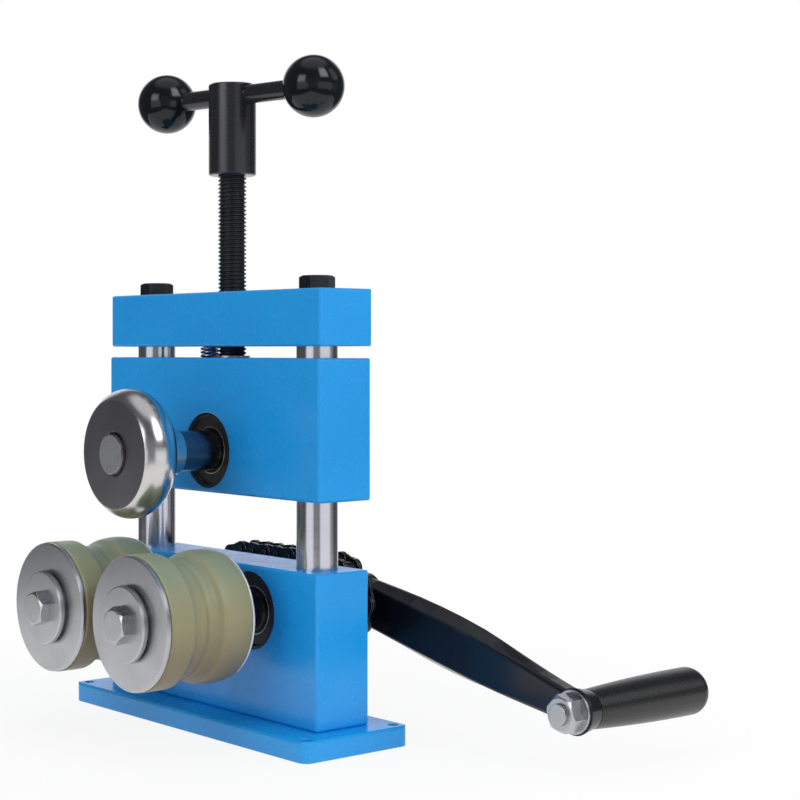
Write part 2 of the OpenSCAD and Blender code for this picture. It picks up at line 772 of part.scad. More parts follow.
// Centre line of the spring: a straight leg, a curl that opens out, the full curls,
// a curl that closes in and a straight leg
function spring_step(i) = min(max(i - 2, 0), spring_steps);
function spring_turn(i) = 360 * spring_step(i) / curl_rings;
function spring_open_share(i) =
    min(1, spring_step(i) / curl_rings, (spring_steps - spring_step(i)) / curl_rings);
function spring_radius(i) = spring_leg_r + (spring_coil_r - spring_leg_r) * spring_open_share(i);
function spring_height(i) =
    i == 0 ? spring_bottom_z
    : i == 1 ? spring_bottom_z + spring_wire
    : i == spring_rings - 2 ? spring_top_z - spring_wire
    : i == spring_rings - 1 ? spring_top_z
    : spring_bottom_z + spring_wire + spring_bend + spring_rise * spring_step(i) / spring_steps;
spring_path = [for (i = [0 : spring_rings - 1]) [
    spring_radius(i) * cos(spring_turn(i)) - spring_x,
    spring_radius(i) * sin(spring_turn(i)),
    spring_height(i)
]];
function spring_ahead(i) =
    i < 2 || i > spring_rings - 3 ? [0, 0, 1]
    : (spring_path[i + 1] - spring_path[i - 1]) / norm(spring_path[i + 1] - spring_path[i - 1]);
function spring_ring(i) =
    let (
        ahead = spring_ahead(i),
        out = [cos(spring_turn(i)), sin(spring_turn(i)), 0],
        flat_out = out - (out * ahead) * ahead,
        u = flat_out / norm(flat_out),
        v = cross(ahead, u)
    )
    [for (k = [0 : wire_sides - 1])
        spring_path[i] + spring_wire / 2
            * (cos(k * 360 / wire_sides) * u + sin(k * 360 / wire_sides) * v)];
// Least gap between stretches of wire that lie half a curl or more apart
spring_least_gap = min([for (i = [0 : spring_rings - 5], j = [i + 4 : spring_rings - 1])
    norm(spring_path[i] - spring_path[j])]) - spring_wire;
echo(spring_least_gap = spring_least_gap);

module return_spring() color("silver")
    skin([for (i = [0 : spring_rings - 1]) spring_ring(i)]);

module upper_block() color("dodgerblue") {
    difference() {
        translate([0, 0, upper_block_z]) bevelled_block(upper_block_w, block_d, upper_block_h, edge_bevel);
        for (x = [-post_x, post_x]) translate([x, 0, upper_block_z - over])
            cylinder(h = upper_block_h + 2 * over, r = post_d / 2 + run_gap);
        turned(0, upper_axis_z) bearing_seat_profile();
        translate([0, 0, upper_block_top - screw_seat])
            cylinder(h = screw_seat + over, r = screw_d / 2 + run_gap);
        translate([-spring_x, 0, upper_block_top - spring_hole_depth])
            cylinder(h = spring_hole_depth + over, r = spring_hole_r);
    }
}

module upper_bearing_outer_rings() color("lightgray") bearing_outer_ring(0, upper_axis_z);

module upper_bearing_seals() color("black") bearing_seals(0, upper_axis_z);

module upper_bearing_balls() color("silver") bearing_balls(0, upper_axis_z);

module upper_retaining_rings() color("dimgray") retaining_rings(0, upper_axis_z);

module upper_bearing_inner_rings() color("lightgray") bearing_inner_ring(0, upper_axis_z);

module thrust_washer() color("gray")
    translate([0, 0, upper_block_top]) difference() {
        cylinder(h = thrust_washer_t, d = thrust_washer_d);
        translate([0, 0, -over]) cylinder(h = thrust_washer_t + 2 * over, r = screw_d / 2 + run_gap);
    }

module pressing_screw() color("black")
    translate([0, 0, upper_block_top - screw_seat + run_gap])
        cylinder(h = hub_z + screw_hub_seat - upper_block_top + screw_seat - run_gap, d = screw_d);

module handle_hub() color("black")
    rotate(handle_turn) difference() {
        translate([0, 0, hub_z]) rotate_extrude()
            bevel_band(0, handle_hub_d / 2, 0, handle_hub_h, turn_bevel);
        translate([0, 0, hub_z - over])
            cylinder(h = screw_hub_seat + over, r = screw_d / 2 + seat_gap);
        translate([0, 0, cross_bar_z]) rotate([0, 90, 0])
            cylinder(h = handle_hub_d + 2 * over, r = cross_bar_d / 2 + seat_gap, center = true);
    }

module cross_bar() color("black")
    rotate(handle_turn) translate([cross_bar_shift, 0, cross_bar_z]) rotate([0, 90, 0])
        cylinder(h = cross_bar_len, d = cross_bar_d, center = true);

module ball_knobs() color("black")
    rotate(handle_turn) for (side = [-1, 1]) difference() {
        translate([cross_bar_shift + side * knob_spacing / 2, 0, cross_bar_z]) sphere(d = knob_d);
        translate([cross_bar_shift, 0, cross_bar_z]) rotate([0, 90, 0])
            cylinder(h = cross_bar_len + 2 * seat_gap, r = cross_bar_d / 2 + seat_gap, center = true);
    }

// Shaft with a groove for a clip behind its rear bearing
module clipped_shaft_profile(front_y, groove_y, rear_y, r) {
    difference() {
        bevel_band(0, r, front_y, rear_y, turn_bevel);
        band(r - shaft_clip_groove, r + over, groove_y, groove_y + shaft_clip_t + run_gap);
    }
}

// Clip that sits in such a groove
module shaft_clip(x, z, groove_y, r) {
    plate_xz(x, z, groove_y + run_gap / 2, groove_y + run_gap / 2 + shaft_clip_t) difference() {
        circle(r = r - shaft_clip_groove + seat_gap + shaft_clip_w);
        circle(r = r - shaft_clip_groove + seat_gap);
        translate([0, -r - shaft_clip_w]) square([shaft_clip_w * 2, 2 * shaft_clip_w * 2], center = true);
    }
}

module upper_shaft() color("dimgray")
    turned(0, upper_axis_z) clipped_shaft_profile(
        crown_front_y - shaft_proud, hub_front_y,
        hub_front_y + shaft_clip_t + shaft_tail, shaft_r
    );

module upper_shaft_clip() color("dimgray")
    shaft_clip(0, upper_axis_z, hub_front_y, shaft_r);

module upper_roller() color("silver") {
    crown_middle_r = upper_roller_d / 2 - crown_r;
    turned(0, upper_axis_z) difference() {
        union() {
            band(0, crown_middle_r, crown_front_y, crown_rear_y);
            intersection() {
                translate([crown_middle_r, work_y]) circle(r = crown_r);
                band(crown_middle_r - over, upper_roller_d / 2 + over, crown_front_y, crown_rear_y);
            }
            bevel_band(0, hub_d / 2, crown_front_y + crown_front, crown_rear_y + hub_len, turn_bevel);
        }
        band(0, shaft_r + seat_gap, crown_front_y - over, crown_rear_y + hub_len + over);
        polygon([
            [0, crown_front_y - over], [shaft_r + bore_bevel + over, crown_front_y - over],
            [shaft_r, crown_front_y + bore_bevel], [0, crown_front_y + bore_bevel]
        ]);
    }
}

module lower_shaft(x, rear_y, rear_r, tail_y) {
    difference() {
        turned(x, lower_axis_z) difference() {
            union() {
                band(0, roller_seat_d / 2, seat_front_y, core_rear_y + over);
                band(0, shaft_r, core_rear_y, hub_front_y);
                band(0, roller_seat_d / 2, hub_front_y - over, rear_y);
                band(0, rear_r, rear_y - over, tail_y);
            }
            band(0, roller_bolt_d / 2 + seat_gap, seat_front_y - over,
                seat_front_y + roller_bolt_grip + over);
        }
        roller_key(x, seat_gap);
        sprocket_key(x, seat_gap);
    }
}

module roller_key(x, gap) {
    key_box(x, roller_seat_d / 2, key_front_y, key_front_y + key_len, key_w, key_seat, key_h, gap);
}

module sprocket_key(x, gap) {
    key_box(x, roller_seat_d / 2, sprocket_key_y, sprocket_key_y + sprocket_key_len,
        key_w, key_seat, key_h, gap);
}

module crank_key(gap) {
    key_box(axis_x, crank_seat_d / 2, crank_key_y, crank_key_y + crank_key_len,
        crank_key_w, crank_key_seat, crank_key_w, gap);
}

module roller_core(x) {
    difference() {
        turned(x, lower_axis_z) {
            band(roller_seat_d / 2 + seat_gap, tyre_bore / 2, tyre_front_y, tyre_rear_y);
            bevel_band(roller_seat_d / 2 + seat_gap, rear_flange_d / 2, tyre_rear_y,
                core_rear_y, turn_bevel);
        }
        key_box(x, roller_seat_d / 2, tyre_front_y - over, core_rear_y + over,
            key_w, key_seat, key_h, seat_gap);
    }
}

module tyre(x) {
    turned(x, lower_axis_z) difference() {
        union() {
            band(tyre_bore / 2 + seat_gap, tyre_d / 2, tyre_front_y, work_y);
            intersection() {
                translate([tyre_d / 2 - tyre_shoulder_r, work_y + tyre_crest]) circle(r = tyre_shoulder_r);
                band(tyre_bore / 2 + seat_gap, tyre_d / 2 + over, work_y - over, tyre_rear_y);
            }
        }
        polygon(concat(groove_side(-1), groove_side(1)));
    }
}

// One side of the groove's section, the front one from its rim down, the rear one up again
function groove_side(side) = let (
        depth = tyre_d / 2 - groove_floor_r,
        down = [for (share = groove_shares) [tyre_d / 2 - depth * share[1],
            work_y + side * groove_reach * share[0]]],
        top = [tyre_d / 2 + over, work_y + side * groove_reach],
        count = len(down)
    )
    side < 0 ? concat([top], down) : concat([for (i = [count - 1:-1:0]) down[i]], [top]);

module front_flange(x) {
    turned(x, lower_axis_z) bevel_band(roller_seat_d / 2 + seat_gap, front_flange_d / 2,
        flange_front_y, tyre_front_y, turn_bevel);
}

module step_washer(x) {
    turned(x, lower_axis_z) {
        bevel_band(roller_bolt_d / 2 + bolt_clearance, step_washer_d / 2,
            flange_front_y - step_washer_t, flange_front_y - step_boss_t, turn_bevel);
        band(roller_bolt_d / 2 + bolt_clearance, step_boss_d / 2,
            flange_front_y - step_boss_t - over, flange_front_y);
    }
}

module roller_bolt(x, turn) {
    translate([x, flange_front_y - step_washer_t, lower_axis_z]) rotate([90, 0, 0]) rotate(turn) {
        hex_head(hex_flats, roller_bolt_head_h);
        translate([0, 0, -roller_bolt_len]) cylinder(h = roller_bolt_len, d = roller_bolt_d);
    }
}

// Gap between two teeth: a roller's seat, with flanks that leave it as tangents
module tooth_gap() {
    foot = pitch_r - tooth_seat_r * sin(tooth_flank_turn);
    foot_half = tooth_seat_r * cos(tooth_flank_turn);
    reach = tip_d / 2 + over;
    reach_half = foot_half + (reach - foot) * tan(tooth_flank_turn);
    translate([pitch_r, 0]) circle(r = tooth_seat_r);
    polygon([[foot, -foot_half], [reach, -reach_half], [reach, reach_half], [foot, foot_half]]);
}

module sprocket(x) {
    tip_r = tip_d / 2;
    y0 = chain_y - tooth_w / 2;
    y1 = chain_y + tooth_w / 2;
    difference() {
        union() {
            intersection() {
                plate_xz(x, lower_axis_z, y0, y1) difference() {
                    circle(r = tip_r);
                    for (k = [0 : teeth - 1]) rotate(k * 360 / teeth) tooth_gap();
                }
                turned(x, lower_axis_z) polygon([
                    [0, y0], [pitch_r - over, y0], [tip_r + over, y0 + tooth_bevel + over],
                    [tip_r + over, y1 - tooth_bevel - over], [pitch_r - over, y1], [0, y1]
                ]);
            }
            turned(x, lower_axis_z) band(0, sprocket_hub_d / 2, hub_front_y, chain_y);
        }
        turned(x, lower_axis_z) band(0, roller_seat_d / 2 + seat_gap, hub_front_y - over, y1 + over);
        key_box(x, roller_seat_d / 2, hub_front_y - over, y1 + over, key_w, key_seat, key_h, seat_gap);
    }
}

module drive_shaft() color("dimgray") {
    difference() {
        lower_shaft(axis_x, root_boss_y, crank_seat_d / 2, crank_rear_y - run_gap);
        crank_key(seat_gap);
        turned(axis_x, lower_axis_z)
            band(0, crank_screw_d / 2 + seat_gap, crank_rear_y - crank_screw_grip - over, crank_rear_y + over);
    }
}

module driven_shaft() color("dimgray") {
    difference() {
        lower_shaft(-axis_x, sprocket_rear_y, roller_seat_d / 2,
            sprocket_rear_y + shaft_clip_t + shaft_tail);
        turned(-axis_x, lower_axis_z) band(roller_seat_d / 2 - shaft_clip_groove,
            roller_seat_d / 2 + over, sprocket_rear_y + run_gap, sprocket_rear_y + shaft_clip_t + 2 * run_gap);
    }
}

module driven_shaft_clip() color("dimgray")
    shaft_clip(-axis_x, lower_axis_z, sprocket_rear_y + run_gap, roller_seat_d / 2);

module drive_roller_core() color("silver") roller_core(axis_x);

module driven_roller_core() color("silver") roller_core(-axis_x);

module drive_tyre() color("darkkhaki") tyre(axis_x);

module driven_tyre() color("darkkhaki") tyre(-axis_x);

module drive_front_flange() color("silver") front_flange(axis_x);

module driven_front_flange() color("silver") front_flange(-axis_x);

module drive_step_washer() color("silver") step_washer(axis_x);

module driven_step_washer() color("silver") step_washer(-axis_x);

module drive_roller_bolt() color("lightgray") roller_bolt(axis_x, drive_bolt_turn);

module driven_roller_bolt() color("lightgray") roller_bolt(-axis_x, driven_bolt_turn);

module drive_bearing_inner_rings() color("lightgray") bearing_inner_ring(axis_x, lower_axis_z);

module driven_bearing_inner_rings() color("lightgray") bearing_inner_ring(-axis_x, lower_axis_z);

module drive_sprocket() color("dimgray") sprocket(axis_x);

module driven_sprocket() color("dimgray") sprocket(-axis_x);

module drive_keys() color("gray") {
    roller_key(axis_x, 0);
    sprocket_key(axis_x, 0);
    crank_key(0);
}

module driven_keys() color("gray") {
    roller_key(-axis_x, 0);
    sprocket_key(-axis_x, 0);
}

// The crank's own place: X along the arm from the drive shaft
module on_crank() {
    translate([axis_x, 0, lower_axis_z]) rotate([0, crank_drop, 0]) children();
}

// Quarter round of an arm section, in Y and Z, between two angles
function arm_corner(y, z, turn0, turn1) =
    [for (k = [0 : arm_corner_steps]) let (turn = turn0 + (turn1 - turn0) * k / arm_corner_steps)
        [y + arm_edge_r * cos(turn), z + arm_edge_r * sin(turn)]];

// Section of the arm: narrower in front, with its sides drafted
function arm_section(x, front_half, rear_half) =
    let (
        y0 = arm_y + arm_edge_r,
        y1 = arm_y + arm_t - arm_edge_r,
        zf = front_half - arm_edge_r,
        zr = rear_half - arm_edge_r,
        side = 90 + atan2(zr - zf, y1 - y0)
    )
    [for (p = concat(
        arm_corner(y0, -zf, -180, -side), arm_corner(y1, -zr, -side, 0),
        arm_corner(y1, zr, 0, side), arm_corner(y0, zf, side, 180)
    )) [x, p[0], p[1]]];

module crank_arm() color("black") {
    difference() {
        union() {
            on_crank() {
                skin([for (k = [0 : len(arm_station_shares) - 1]) arm_section(
                    arm_station_shares[k] * crank_len,
                    arm_front_shares[k] * root_boss_d / 2,
                    arm_rear_shares[k] * root_boss_d / 2
                )]);
                turned(crank_len, 0) polygon([
                    [0, arm_y], [tip_boss_d / 2, arm_y],
                    [tip_boss_rear_d / 2, tip_boss_y], [0, tip_boss_y]
                ]);
            }
            turned(axis_x, lower_axis_z)
                bevel_band(0, root_boss_d / 2, root_boss_y, crank_rear_y, turn_bevel);
        }
        turned(axis_x, lower_axis_z)
            band(0, crank_seat_d / 2 + seat_gap, root_boss_y - over, crank_rear_y + over);
        on_crank() turned(crank_len, 0) {
            band(0, spindle_d / 2 + seat_gap, arm_y - over, tip_boss_y + over);
            band(0, grip_collar_d / 2 + 2 * face_gap, tip_boss_y, arm_y + arm_t + over);
        }
        key_box(axis_x, crank_seat_d / 2, root_boss_y - over, crank_rear_y + over,
            crank_key_w, crank_key_seat, crank_key_w, seat_gap);
    }
}

module crank_washer() color("silver")
    turned(axis_x, lower_axis_z) band(crank_screw_d / 2 + bolt_clearance, crank_washer_d / 2,
        crank_rear_y, crank_rear_y + crank_washer_t);

module crank_screw() color("silver")
    translate([axis_x, crank_rear_y + crank_washer_t, lower_axis_z]) rotate([-90, 0, 0]) {
        hex_head(crank_screw_flats, crank_screw_head_h);
        translate([0, 0, -crank_washer_t - crank_screw_grip])
            cylinder(h = crank_washer_t + crank_screw_grip, d = crank_screw_d);
    }

module grip_spindle() color("silver")
    on_crank() turned(crank_len, 0) difference() {
        union() {
            band(0, spindle_d / 2, nut_front_y - spindle_proud, tip_boss_y + spindle_reach);
            band(0, spindle_flange_d / 2, tip_boss_y, tip_boss_y + spindle_flange_t);
        }
        band(spindle_d / 2 - grip_clip_seat, spindle_d / 2 + over, grip_clip_y,
            grip_clip_y + grip_clip_t + run_gap);
    }

module grip_clip() color("dimgray")
    on_crank() plate_xz(crank_len, 0, grip_clip_y + run_gap / 2, grip_clip_y + run_gap / 2 + grip_clip_t)
        difference() {
            circle(r = grip_clip_r);
            circle(r = spindle_d / 2 - grip_clip_seat + seat_gap);
            translate([0, -spindle_d / 2]) square([grip_clip_w, 2 * grip_clip_w], center = true);
        }

module grip_washer() color("silver")
    on_crank() turned(crank_len, 0) band(spindle_d / 2 + bolt_clearance, tip_boss_d / 2 - grip_washer_t / 2,
        arm_y - grip_washer_t, arm_y);

module grip_nut() color("silver")
    on_crank() translate([crank_len, arm_y - grip_washer_t, 0]) rotate([90, 0, 0]) difference() {
        hex_head(hex_flats, grip_nut_h);
        translate([0, 0, -over]) cylinder(h = grip_nut_h + 2 * over, r = spindle_d / 2 + seat_gap);
    }

// Outline of the grip: it swells from its collar towards a round free end
function grip_outline() = let (
        swell_y = grip_y + grip_len - grip_end_r,
        rise = (grip_d - grip_collar_d) / 2,
        steps = grip_steps
    )
    concat(
        [for (k = [0 : steps]) [
            grip_d / 2 - rise * pow(1 - k / steps, 2),
            grip_y + (swell_y - grip_y) * k / steps
        ]],
        [for (k = [1 : steps]) [
            grip_d / 2 - grip_end_r * (1 - cos(90 * k / steps)),
            swell_y + grip_end_r * sin(90 * k / steps)
        ]]
    );

module crank_grip() color("black")
    on_crank() turned(crank_len, 0) difference() {
        polygon(concat([[0, grip_y]], grip_outline(), [[0, grip_y + grip_len]]));
        band(0, spindle_d / 2 + run_gap, grip_y - over, grip_chamber_y);
        band(0, spindle_flange_d / 2 + face_gap, grip_y - over, tip_boss_y + spindle_flange_t + face_gap);
        band(0, grip_clip_r + face_gap, grip_clip_y - face_gap, grip_chamber_y);
    }

base_plate();
base_screws();
lower_block();
guide_posts();
top_bar();
post_bolts();
lower_bearing_outer_rings();
lower_bearing_seals();
lower_bearing_balls();
lower_retaining_rings();
chain_rollers();
chain_bushes();
chain_pins();
chain_inner_plates();
chain_outer_plates();
spring_top_plug();
return_spring();
upper_block();
upper_bearing_outer_rings();
upper_bearing_seals();
upper_bearing_balls();
upper_retaining_rings();
thrust_washer();
spring_bottom_plug();
pressing_screw();
handle_hub();
cross_bar();
ball_knobs();
upper_shaft();
upper_roller();
upper_bearing_inner_rings();
upper_shaft_clip();
drive_shaft();
drive_roller_core();
drive_tyre();
drive_front_flange();
drive_step_washer();
drive_roller_bolt();
drive_bearing_inner_rings();
drive_sprocket();
drive_keys();
crank_arm();
crank_screw();
crank_washer();
grip_spindle();
grip_nut();
grip_washer();
grip_clip();
driven_shaft();
driven_roller_core();
driven_tyre();
driven_front_flange();
driven_step_washer();
driven_roller_bolt();
driven_bearing_inner_rings();
driven_sprocket();
driven_keys();
driven_shaft_clip();
crank_grip();
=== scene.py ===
# Looks of the bench ring roller: camera, studio, materials, and the pieces that need more
# detail than their solids. Metres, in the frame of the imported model.
import math

import bpy
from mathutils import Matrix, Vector

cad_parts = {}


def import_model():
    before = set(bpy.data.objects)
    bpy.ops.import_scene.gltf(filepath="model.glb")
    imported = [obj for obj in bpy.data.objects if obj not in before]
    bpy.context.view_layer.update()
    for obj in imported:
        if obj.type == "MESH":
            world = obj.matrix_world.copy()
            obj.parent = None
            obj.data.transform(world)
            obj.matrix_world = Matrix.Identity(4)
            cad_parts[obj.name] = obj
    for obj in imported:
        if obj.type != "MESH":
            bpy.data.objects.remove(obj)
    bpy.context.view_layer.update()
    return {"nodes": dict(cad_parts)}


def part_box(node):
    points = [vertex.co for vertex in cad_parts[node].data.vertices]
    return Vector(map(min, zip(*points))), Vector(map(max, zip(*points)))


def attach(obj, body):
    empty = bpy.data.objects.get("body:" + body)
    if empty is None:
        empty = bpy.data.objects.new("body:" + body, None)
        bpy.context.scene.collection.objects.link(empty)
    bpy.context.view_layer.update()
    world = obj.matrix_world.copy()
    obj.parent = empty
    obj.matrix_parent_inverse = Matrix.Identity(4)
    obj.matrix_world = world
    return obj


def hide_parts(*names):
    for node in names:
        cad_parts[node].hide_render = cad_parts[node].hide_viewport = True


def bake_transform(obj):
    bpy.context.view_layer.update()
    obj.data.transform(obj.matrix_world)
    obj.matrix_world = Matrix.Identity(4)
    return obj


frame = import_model()
NODES = frame["nodes"]
UPWARD = Vector((0, 0, 1))

# Axes of the machine, read from its solids
LOWER_AXIS_Z = sum(corner.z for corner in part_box("drive_tyre")) / 2
UPPER_AXIS_Z = sum(corner.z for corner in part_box("upper_roller")) / 2
AXIS_X = sum(corner.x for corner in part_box("drive_tyre")) / 2
UPPER_FACE_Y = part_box("upper_roller")[0].y

# Upper roller's flat face: its radius, the softness of its rim, and how far behind the face its
# own colour holds and ends
UPPER_FACE_R = 0.0327
UPPER_FACE_BLUR = 0.0006
UPPER_FACE_HOLD = 0.00005
UPPER_FACE_END = 0.00025

# Camera: its place, heading in degrees, lens and sensor in millimetres, fitted to the photograph
CAMERA_PLACE = (0.9036, -0.6780, 0.2338)
CAMERA_AZIMUTH = 50.95
CAMERA_LENS = 80.4
CAMERA_SENSOR = 36.0
CAMERA_SHIFT = (0.125, -0.0625)
CAMERA_NEAR = 0.05
CAMERA_FAR = 20.0

# Panels of the room that mirrors show: heading and half width in degrees, lower and upper edge
# as the sine of their height above the horizon, softness of the sides in degrees, strength
ROOM_LEVEL = 0.10
CARDS = (
    (4.0, 27.0, -0.25, 0.14, 4.0, 0.95),
    (-81.0, 21.0, -0.25, 0.14, 4.0, 0.95),
    (43.0, 14.0, -0.25, 0.14, 4.0, 0.25),
    (-39.0, 18.0, -0.25, 0.40, 8.0, 0.16),
    (141.0, 34.0, -0.6, 0.55, 6.0, 0.85),
    (4.0, 17.0, 0.44, 0.84, 3.0, 5.0),
    (-86.0, 15.0, 0.16, 0.52, 3.0, 3.6),
    (50.0, 13.0, 0.28, 0.72, 6.0, 0.9),
    (0.0, 180.0, 0.86, 1.50, 1.0, 0.60),
)
CARD_LOWER_BLUR = 0.05
CARD_UPPER_BLUR = 0.06
MIRROR_TINT = (0.97, 0.98, 1.04)
AMBIENT_COLOUR = (0.93, 0.96, 1.0, 1.0)
AMBIENT_LEVEL = 0.50

# Floor: half its side, its drop below the base, its grey, and the distances from the machine
# between which its own white rises from a share to full
FLOOR_REACH = 0.62
FLOOR_DROP = 0.0005
FLOOR_GREY = 0.86
GLOW_SHARE = 0.88
GLOW_START = 0.12
GLOW_END = 0.52

# Lamps: name, place, point aimed at, width and height, power in watts
LAMPS = (
    ("right_box", (1.55, 0.25, 0.75), (0.0, 0.0, 0.18), (1.5, 1.3), 13.0),
    ("front_box", (0.1, -1.6, 0.75), (0.0, 0.0, 0.18), (1.3, 1.2), 8.0),
    ("top_box", (0.0, 0.1, 1.7), (0.0, 0.0, 0.2), (1.4, 1.1), 7.0),
)

# Colours
PAINT_DEEP = (0.007, 0.300, 0.74, 1.0)
PAINT_LIGHT = (0.011, 0.335, 0.80, 1.0)
# Lighter blue painted on the edges of the paint as a highlight
PAINT_EDGE_HIGHLIGHT = (0.12, 0.52, 0.95, 1.0)
# Tyre colours by the way a surface faces: a greener top from painted light, the side colour, and a
# darker brown below from painted shade
TYRE_TOP_PAINTED_LIGHT = (0.25, 0.285, 0.185, 1.0)
TYRE_SIDE = (0.31, 0.285, 0.165, 1.0)
TYRE_LOW_PAINTED_SHADE = (0.21, 0.165, 0.10, 1.0)

# Tyres: radii of the outside and the bore, the size of a broken corner and the share of it
# where its middle point lies, and the steps along and round a tyre
TYRE_R = 0.0396
TYRE_BORE = 0.02505
TYRE_CORNER = 0.0004
CORNER_SHARE = 0.3
TYRE_STEPS = 110
TYRE_SIDES = 144

# Groove of the tyres: its middle, half width and depth, how softly it meets the outside, and
# its section, from the middle out, as shares of the half width and the depth
GROOVE_Y = -0.0775
GROOVE_REACH = 0.0122
GROOVE_DEPTH = 0.0042
GROOVE_BLEND = 0.0004
GROOVE_SHARES = (
    (0.0, 1.0),
    (0.5, 1.0),
    (0.67, 0.86),
    (0.80, 0.57),
    (0.92, 0.14),
    (1.0, 0.0),
    (1.2, 0.0),
)

# Arc that a tyre falls away by behind its groove
SHOULDER_R = 0.040
SHOULDER_Y = -0.0565

# Values between which a noise mostly lies
NOISE_LOW = 0.3
NOISE_HIGH = 0.7

# Bright corners on a bearing's rings: their radii, and how far off they are full and gone
BEARING_LINE_INNER = 0.0146
BEARING_LINE_OUTER = 0.0218
BEARING_LINE_FULL = 0.0001
BEARING_LINE_GONE = 0.00035

# Pressing screw, and one turn of its thread as shares of the pitch and of the thread's depth
SCREW_R = 0.009
SCREW_PITCH = 0.0025
SCREW_DEPTH = 0.00135
SCREW_SIDES = 48
THREAD_SHARES = (
    (0.0, 0.0),
    (0.06, 0.0),
    (0.44, 1.0),
    (0.56, 1.0),
    (0.94, 0.0),
)

# Return spring: its axis, coil and wire, and the straight legs that stand in the two plugs, with
# the points of its path that each leg takes
SPRING_X = -0.0235
SPRING_COIL_R = 0.0056
SPRING_WIRE_R = 0.0008
SPRING_CURLS = 23
SPRING_CURL_STEPS = 28
SPRING_SIDES = 12
SPRING_LEG = 2 * SPRING_WIRE_R
SPRING_LEG_R = 0.0017
SPRING_BEND = 0.0009
LEG_POINTS = 2

# Degrees above which an edge of the made pieces stays sharp
TYRE_SHARP_ANGLE = 40
THREAD_SHARP_ANGLE = 25


class Nodes:
    """Short calls that build the node tree of one material."""

    def __init__(self, name):
        self.material = bpy.data.materials.new(name)
        self.material.use_nodes = True
        self.tree = self.material.node_tree
        self.shader = self.tree.nodes["Principled BSDF"]
        self.coords = self.tree.nodes.new("ShaderNodeTexCoord").outputs["Object"]

    def node(self, kind, inputs=None, **settings):
        made = self.tree.nodes.new(kind)
        for key, value in settings.items():
            setattr(made, key, value)
        for key, value in (inputs or {}).items():
            self.put(made.inputs[key], value)
        return made

    def put(self, socket, value):
        if isinstance(value, bpy.types.NodeSocket):
            self.tree.links.new(value, socket)
        else:
            socket.default_value = value

    def math(self, operation, a, b=0.0):
        made = self.node("ShaderNodeMath", operation=operation)
        for socket, value in zip(made.inputs, (a, b)):
            self.put(socket, value)
        return made.outputs[0]

    def noise(self, scale, detail=3.0, roughness=0.5, vector=None, stretch=None):
        place = vector or self.coords
        if stretch:
            place = self.node(
                "ShaderNodeMapping", {"Vector": place, "Scale": stretch}
            ).outputs[0]
        return self.node(
            "ShaderNodeTexNoise",
            {"Vector": place, "Scale": scale, "Detail": detail, "Roughness": roughness},
        ).outputs["Fac"]

    def ramp(self, value, low, high, to_low, to_high):
        return self.node(
            "ShaderNodeMapRange",
            {
                "Value": value,
                "From Min": low,
                "From Max": high,
                "To Min": to_low,
                "To Max": to_high,
            },
        ).outputs[0]

    def spread(self, noise, low, high):
        """A noise that varies from low to high."""
        return self.ramp(noise, NOISE_LOW, NOISE_HIGH, low, high)

    def mix(self, share, a, b):
        made = self.node("ShaderNodeMix", data_type="RGBA")
        self.put(made.inputs["Factor"], share)
        self.put(made.inputs["A"], a)
        self.put(made.inputs["B"], b)
        return made.outputs["Result"]

    def normal_part(self, axis):
        """One part of the surface's normal, by the name of its axis."""
        normal = self.node("ShaderNodeNewGeometry").outputs["Normal"]
        return self.node("ShaderNodeSeparateXYZ", {0: normal}).outputs[axis]

    def rounded(self, radius):
        """The normal, as it would be with the edges rounded."""
        return self.node("ShaderNodeBevel", {"Radius": radius}, samples=6).outputs[0]

    def dot(self, a, b):
        return self.node(
            "ShaderNodeVectorMath", {0: a, 1: b}, operation="DOT_PRODUCT"
        ).outputs["Value"]

    def edges(self, radius, low=0.02, high=0.35):
        """1 on edges, 0 on flat stretches, from how far a rounded normal turns there."""
        flat = self.node("ShaderNodeNewGeometry").outputs["Normal"]
        turn = self.dot(self.rounded(radius), flat)
        return self.ramp(self.math("SUBTRACT", 1.0, turn), low, high, 0.0, 1.0)

    def edge_wear_and_highlight(self, colour, radius, share, bare):
        """A colour that goes part of the way to another on the edges: bare metal where the edges wear,
        and a painted highlight where the lighter colour stands for light on them.
        """
        return self.mix(self.math("MULTIPLY", self.edges(radius), share), colour, bare)

    def near(self, value, target, full, none):
        """1 within one distance of a target and 0 beyond another."""
        off = self.math("ABSOLUTE", self.math("SUBTRACT", value, target))
        return self.ramp(off, full, none, 1.0, 0.0)

    def radius_about(self, centre_x, centre_z, fold=False):
        """Distance from an axis along Y, or from it and its twin at -X when folded."""
        split = self.node("ShaderNodeSeparateXYZ", {0: self.coords})
        x = split.outputs["X"]
        if fold:
            x = self.math("ABSOLUTE", x)
        dx = self.math("SUBTRACT", x, centre_x)
        dz = self.math("SUBTRACT", split.outputs["Z"], centre_z)
        squares = self.math("ADD", self.math("MULTIPLY", dx, dx), self.math("MULTIPLY", dz, dz))
        return self.math("SQRT", squares)

    def lathe_rings(self, radius, scale):
        """The fine rings that a lathe leaves, from the distance to their axis."""
        place = self.node("ShaderNodeCombineXYZ", {"X": radius}).outputs[0]
        return self.noise(scale, 4.0, 0.7, place)

    def bump(self, height, distance, strength=1.0, normal=None):
        made = self.node(
            "ShaderNodeBump", {"Height": height, "Distance": distance, "Strength": strength}
        )
        if normal is not None:
            self.put(made.inputs["Normal"], normal)
        return made.outputs[0]

    def finish(self, **inputs):
        for key, value in inputs.items():
            self.put(self.shader.inputs[key.replace("_", " ")], value)
        return self.material


def grey(value):
    return (value, value, value, 1.0)


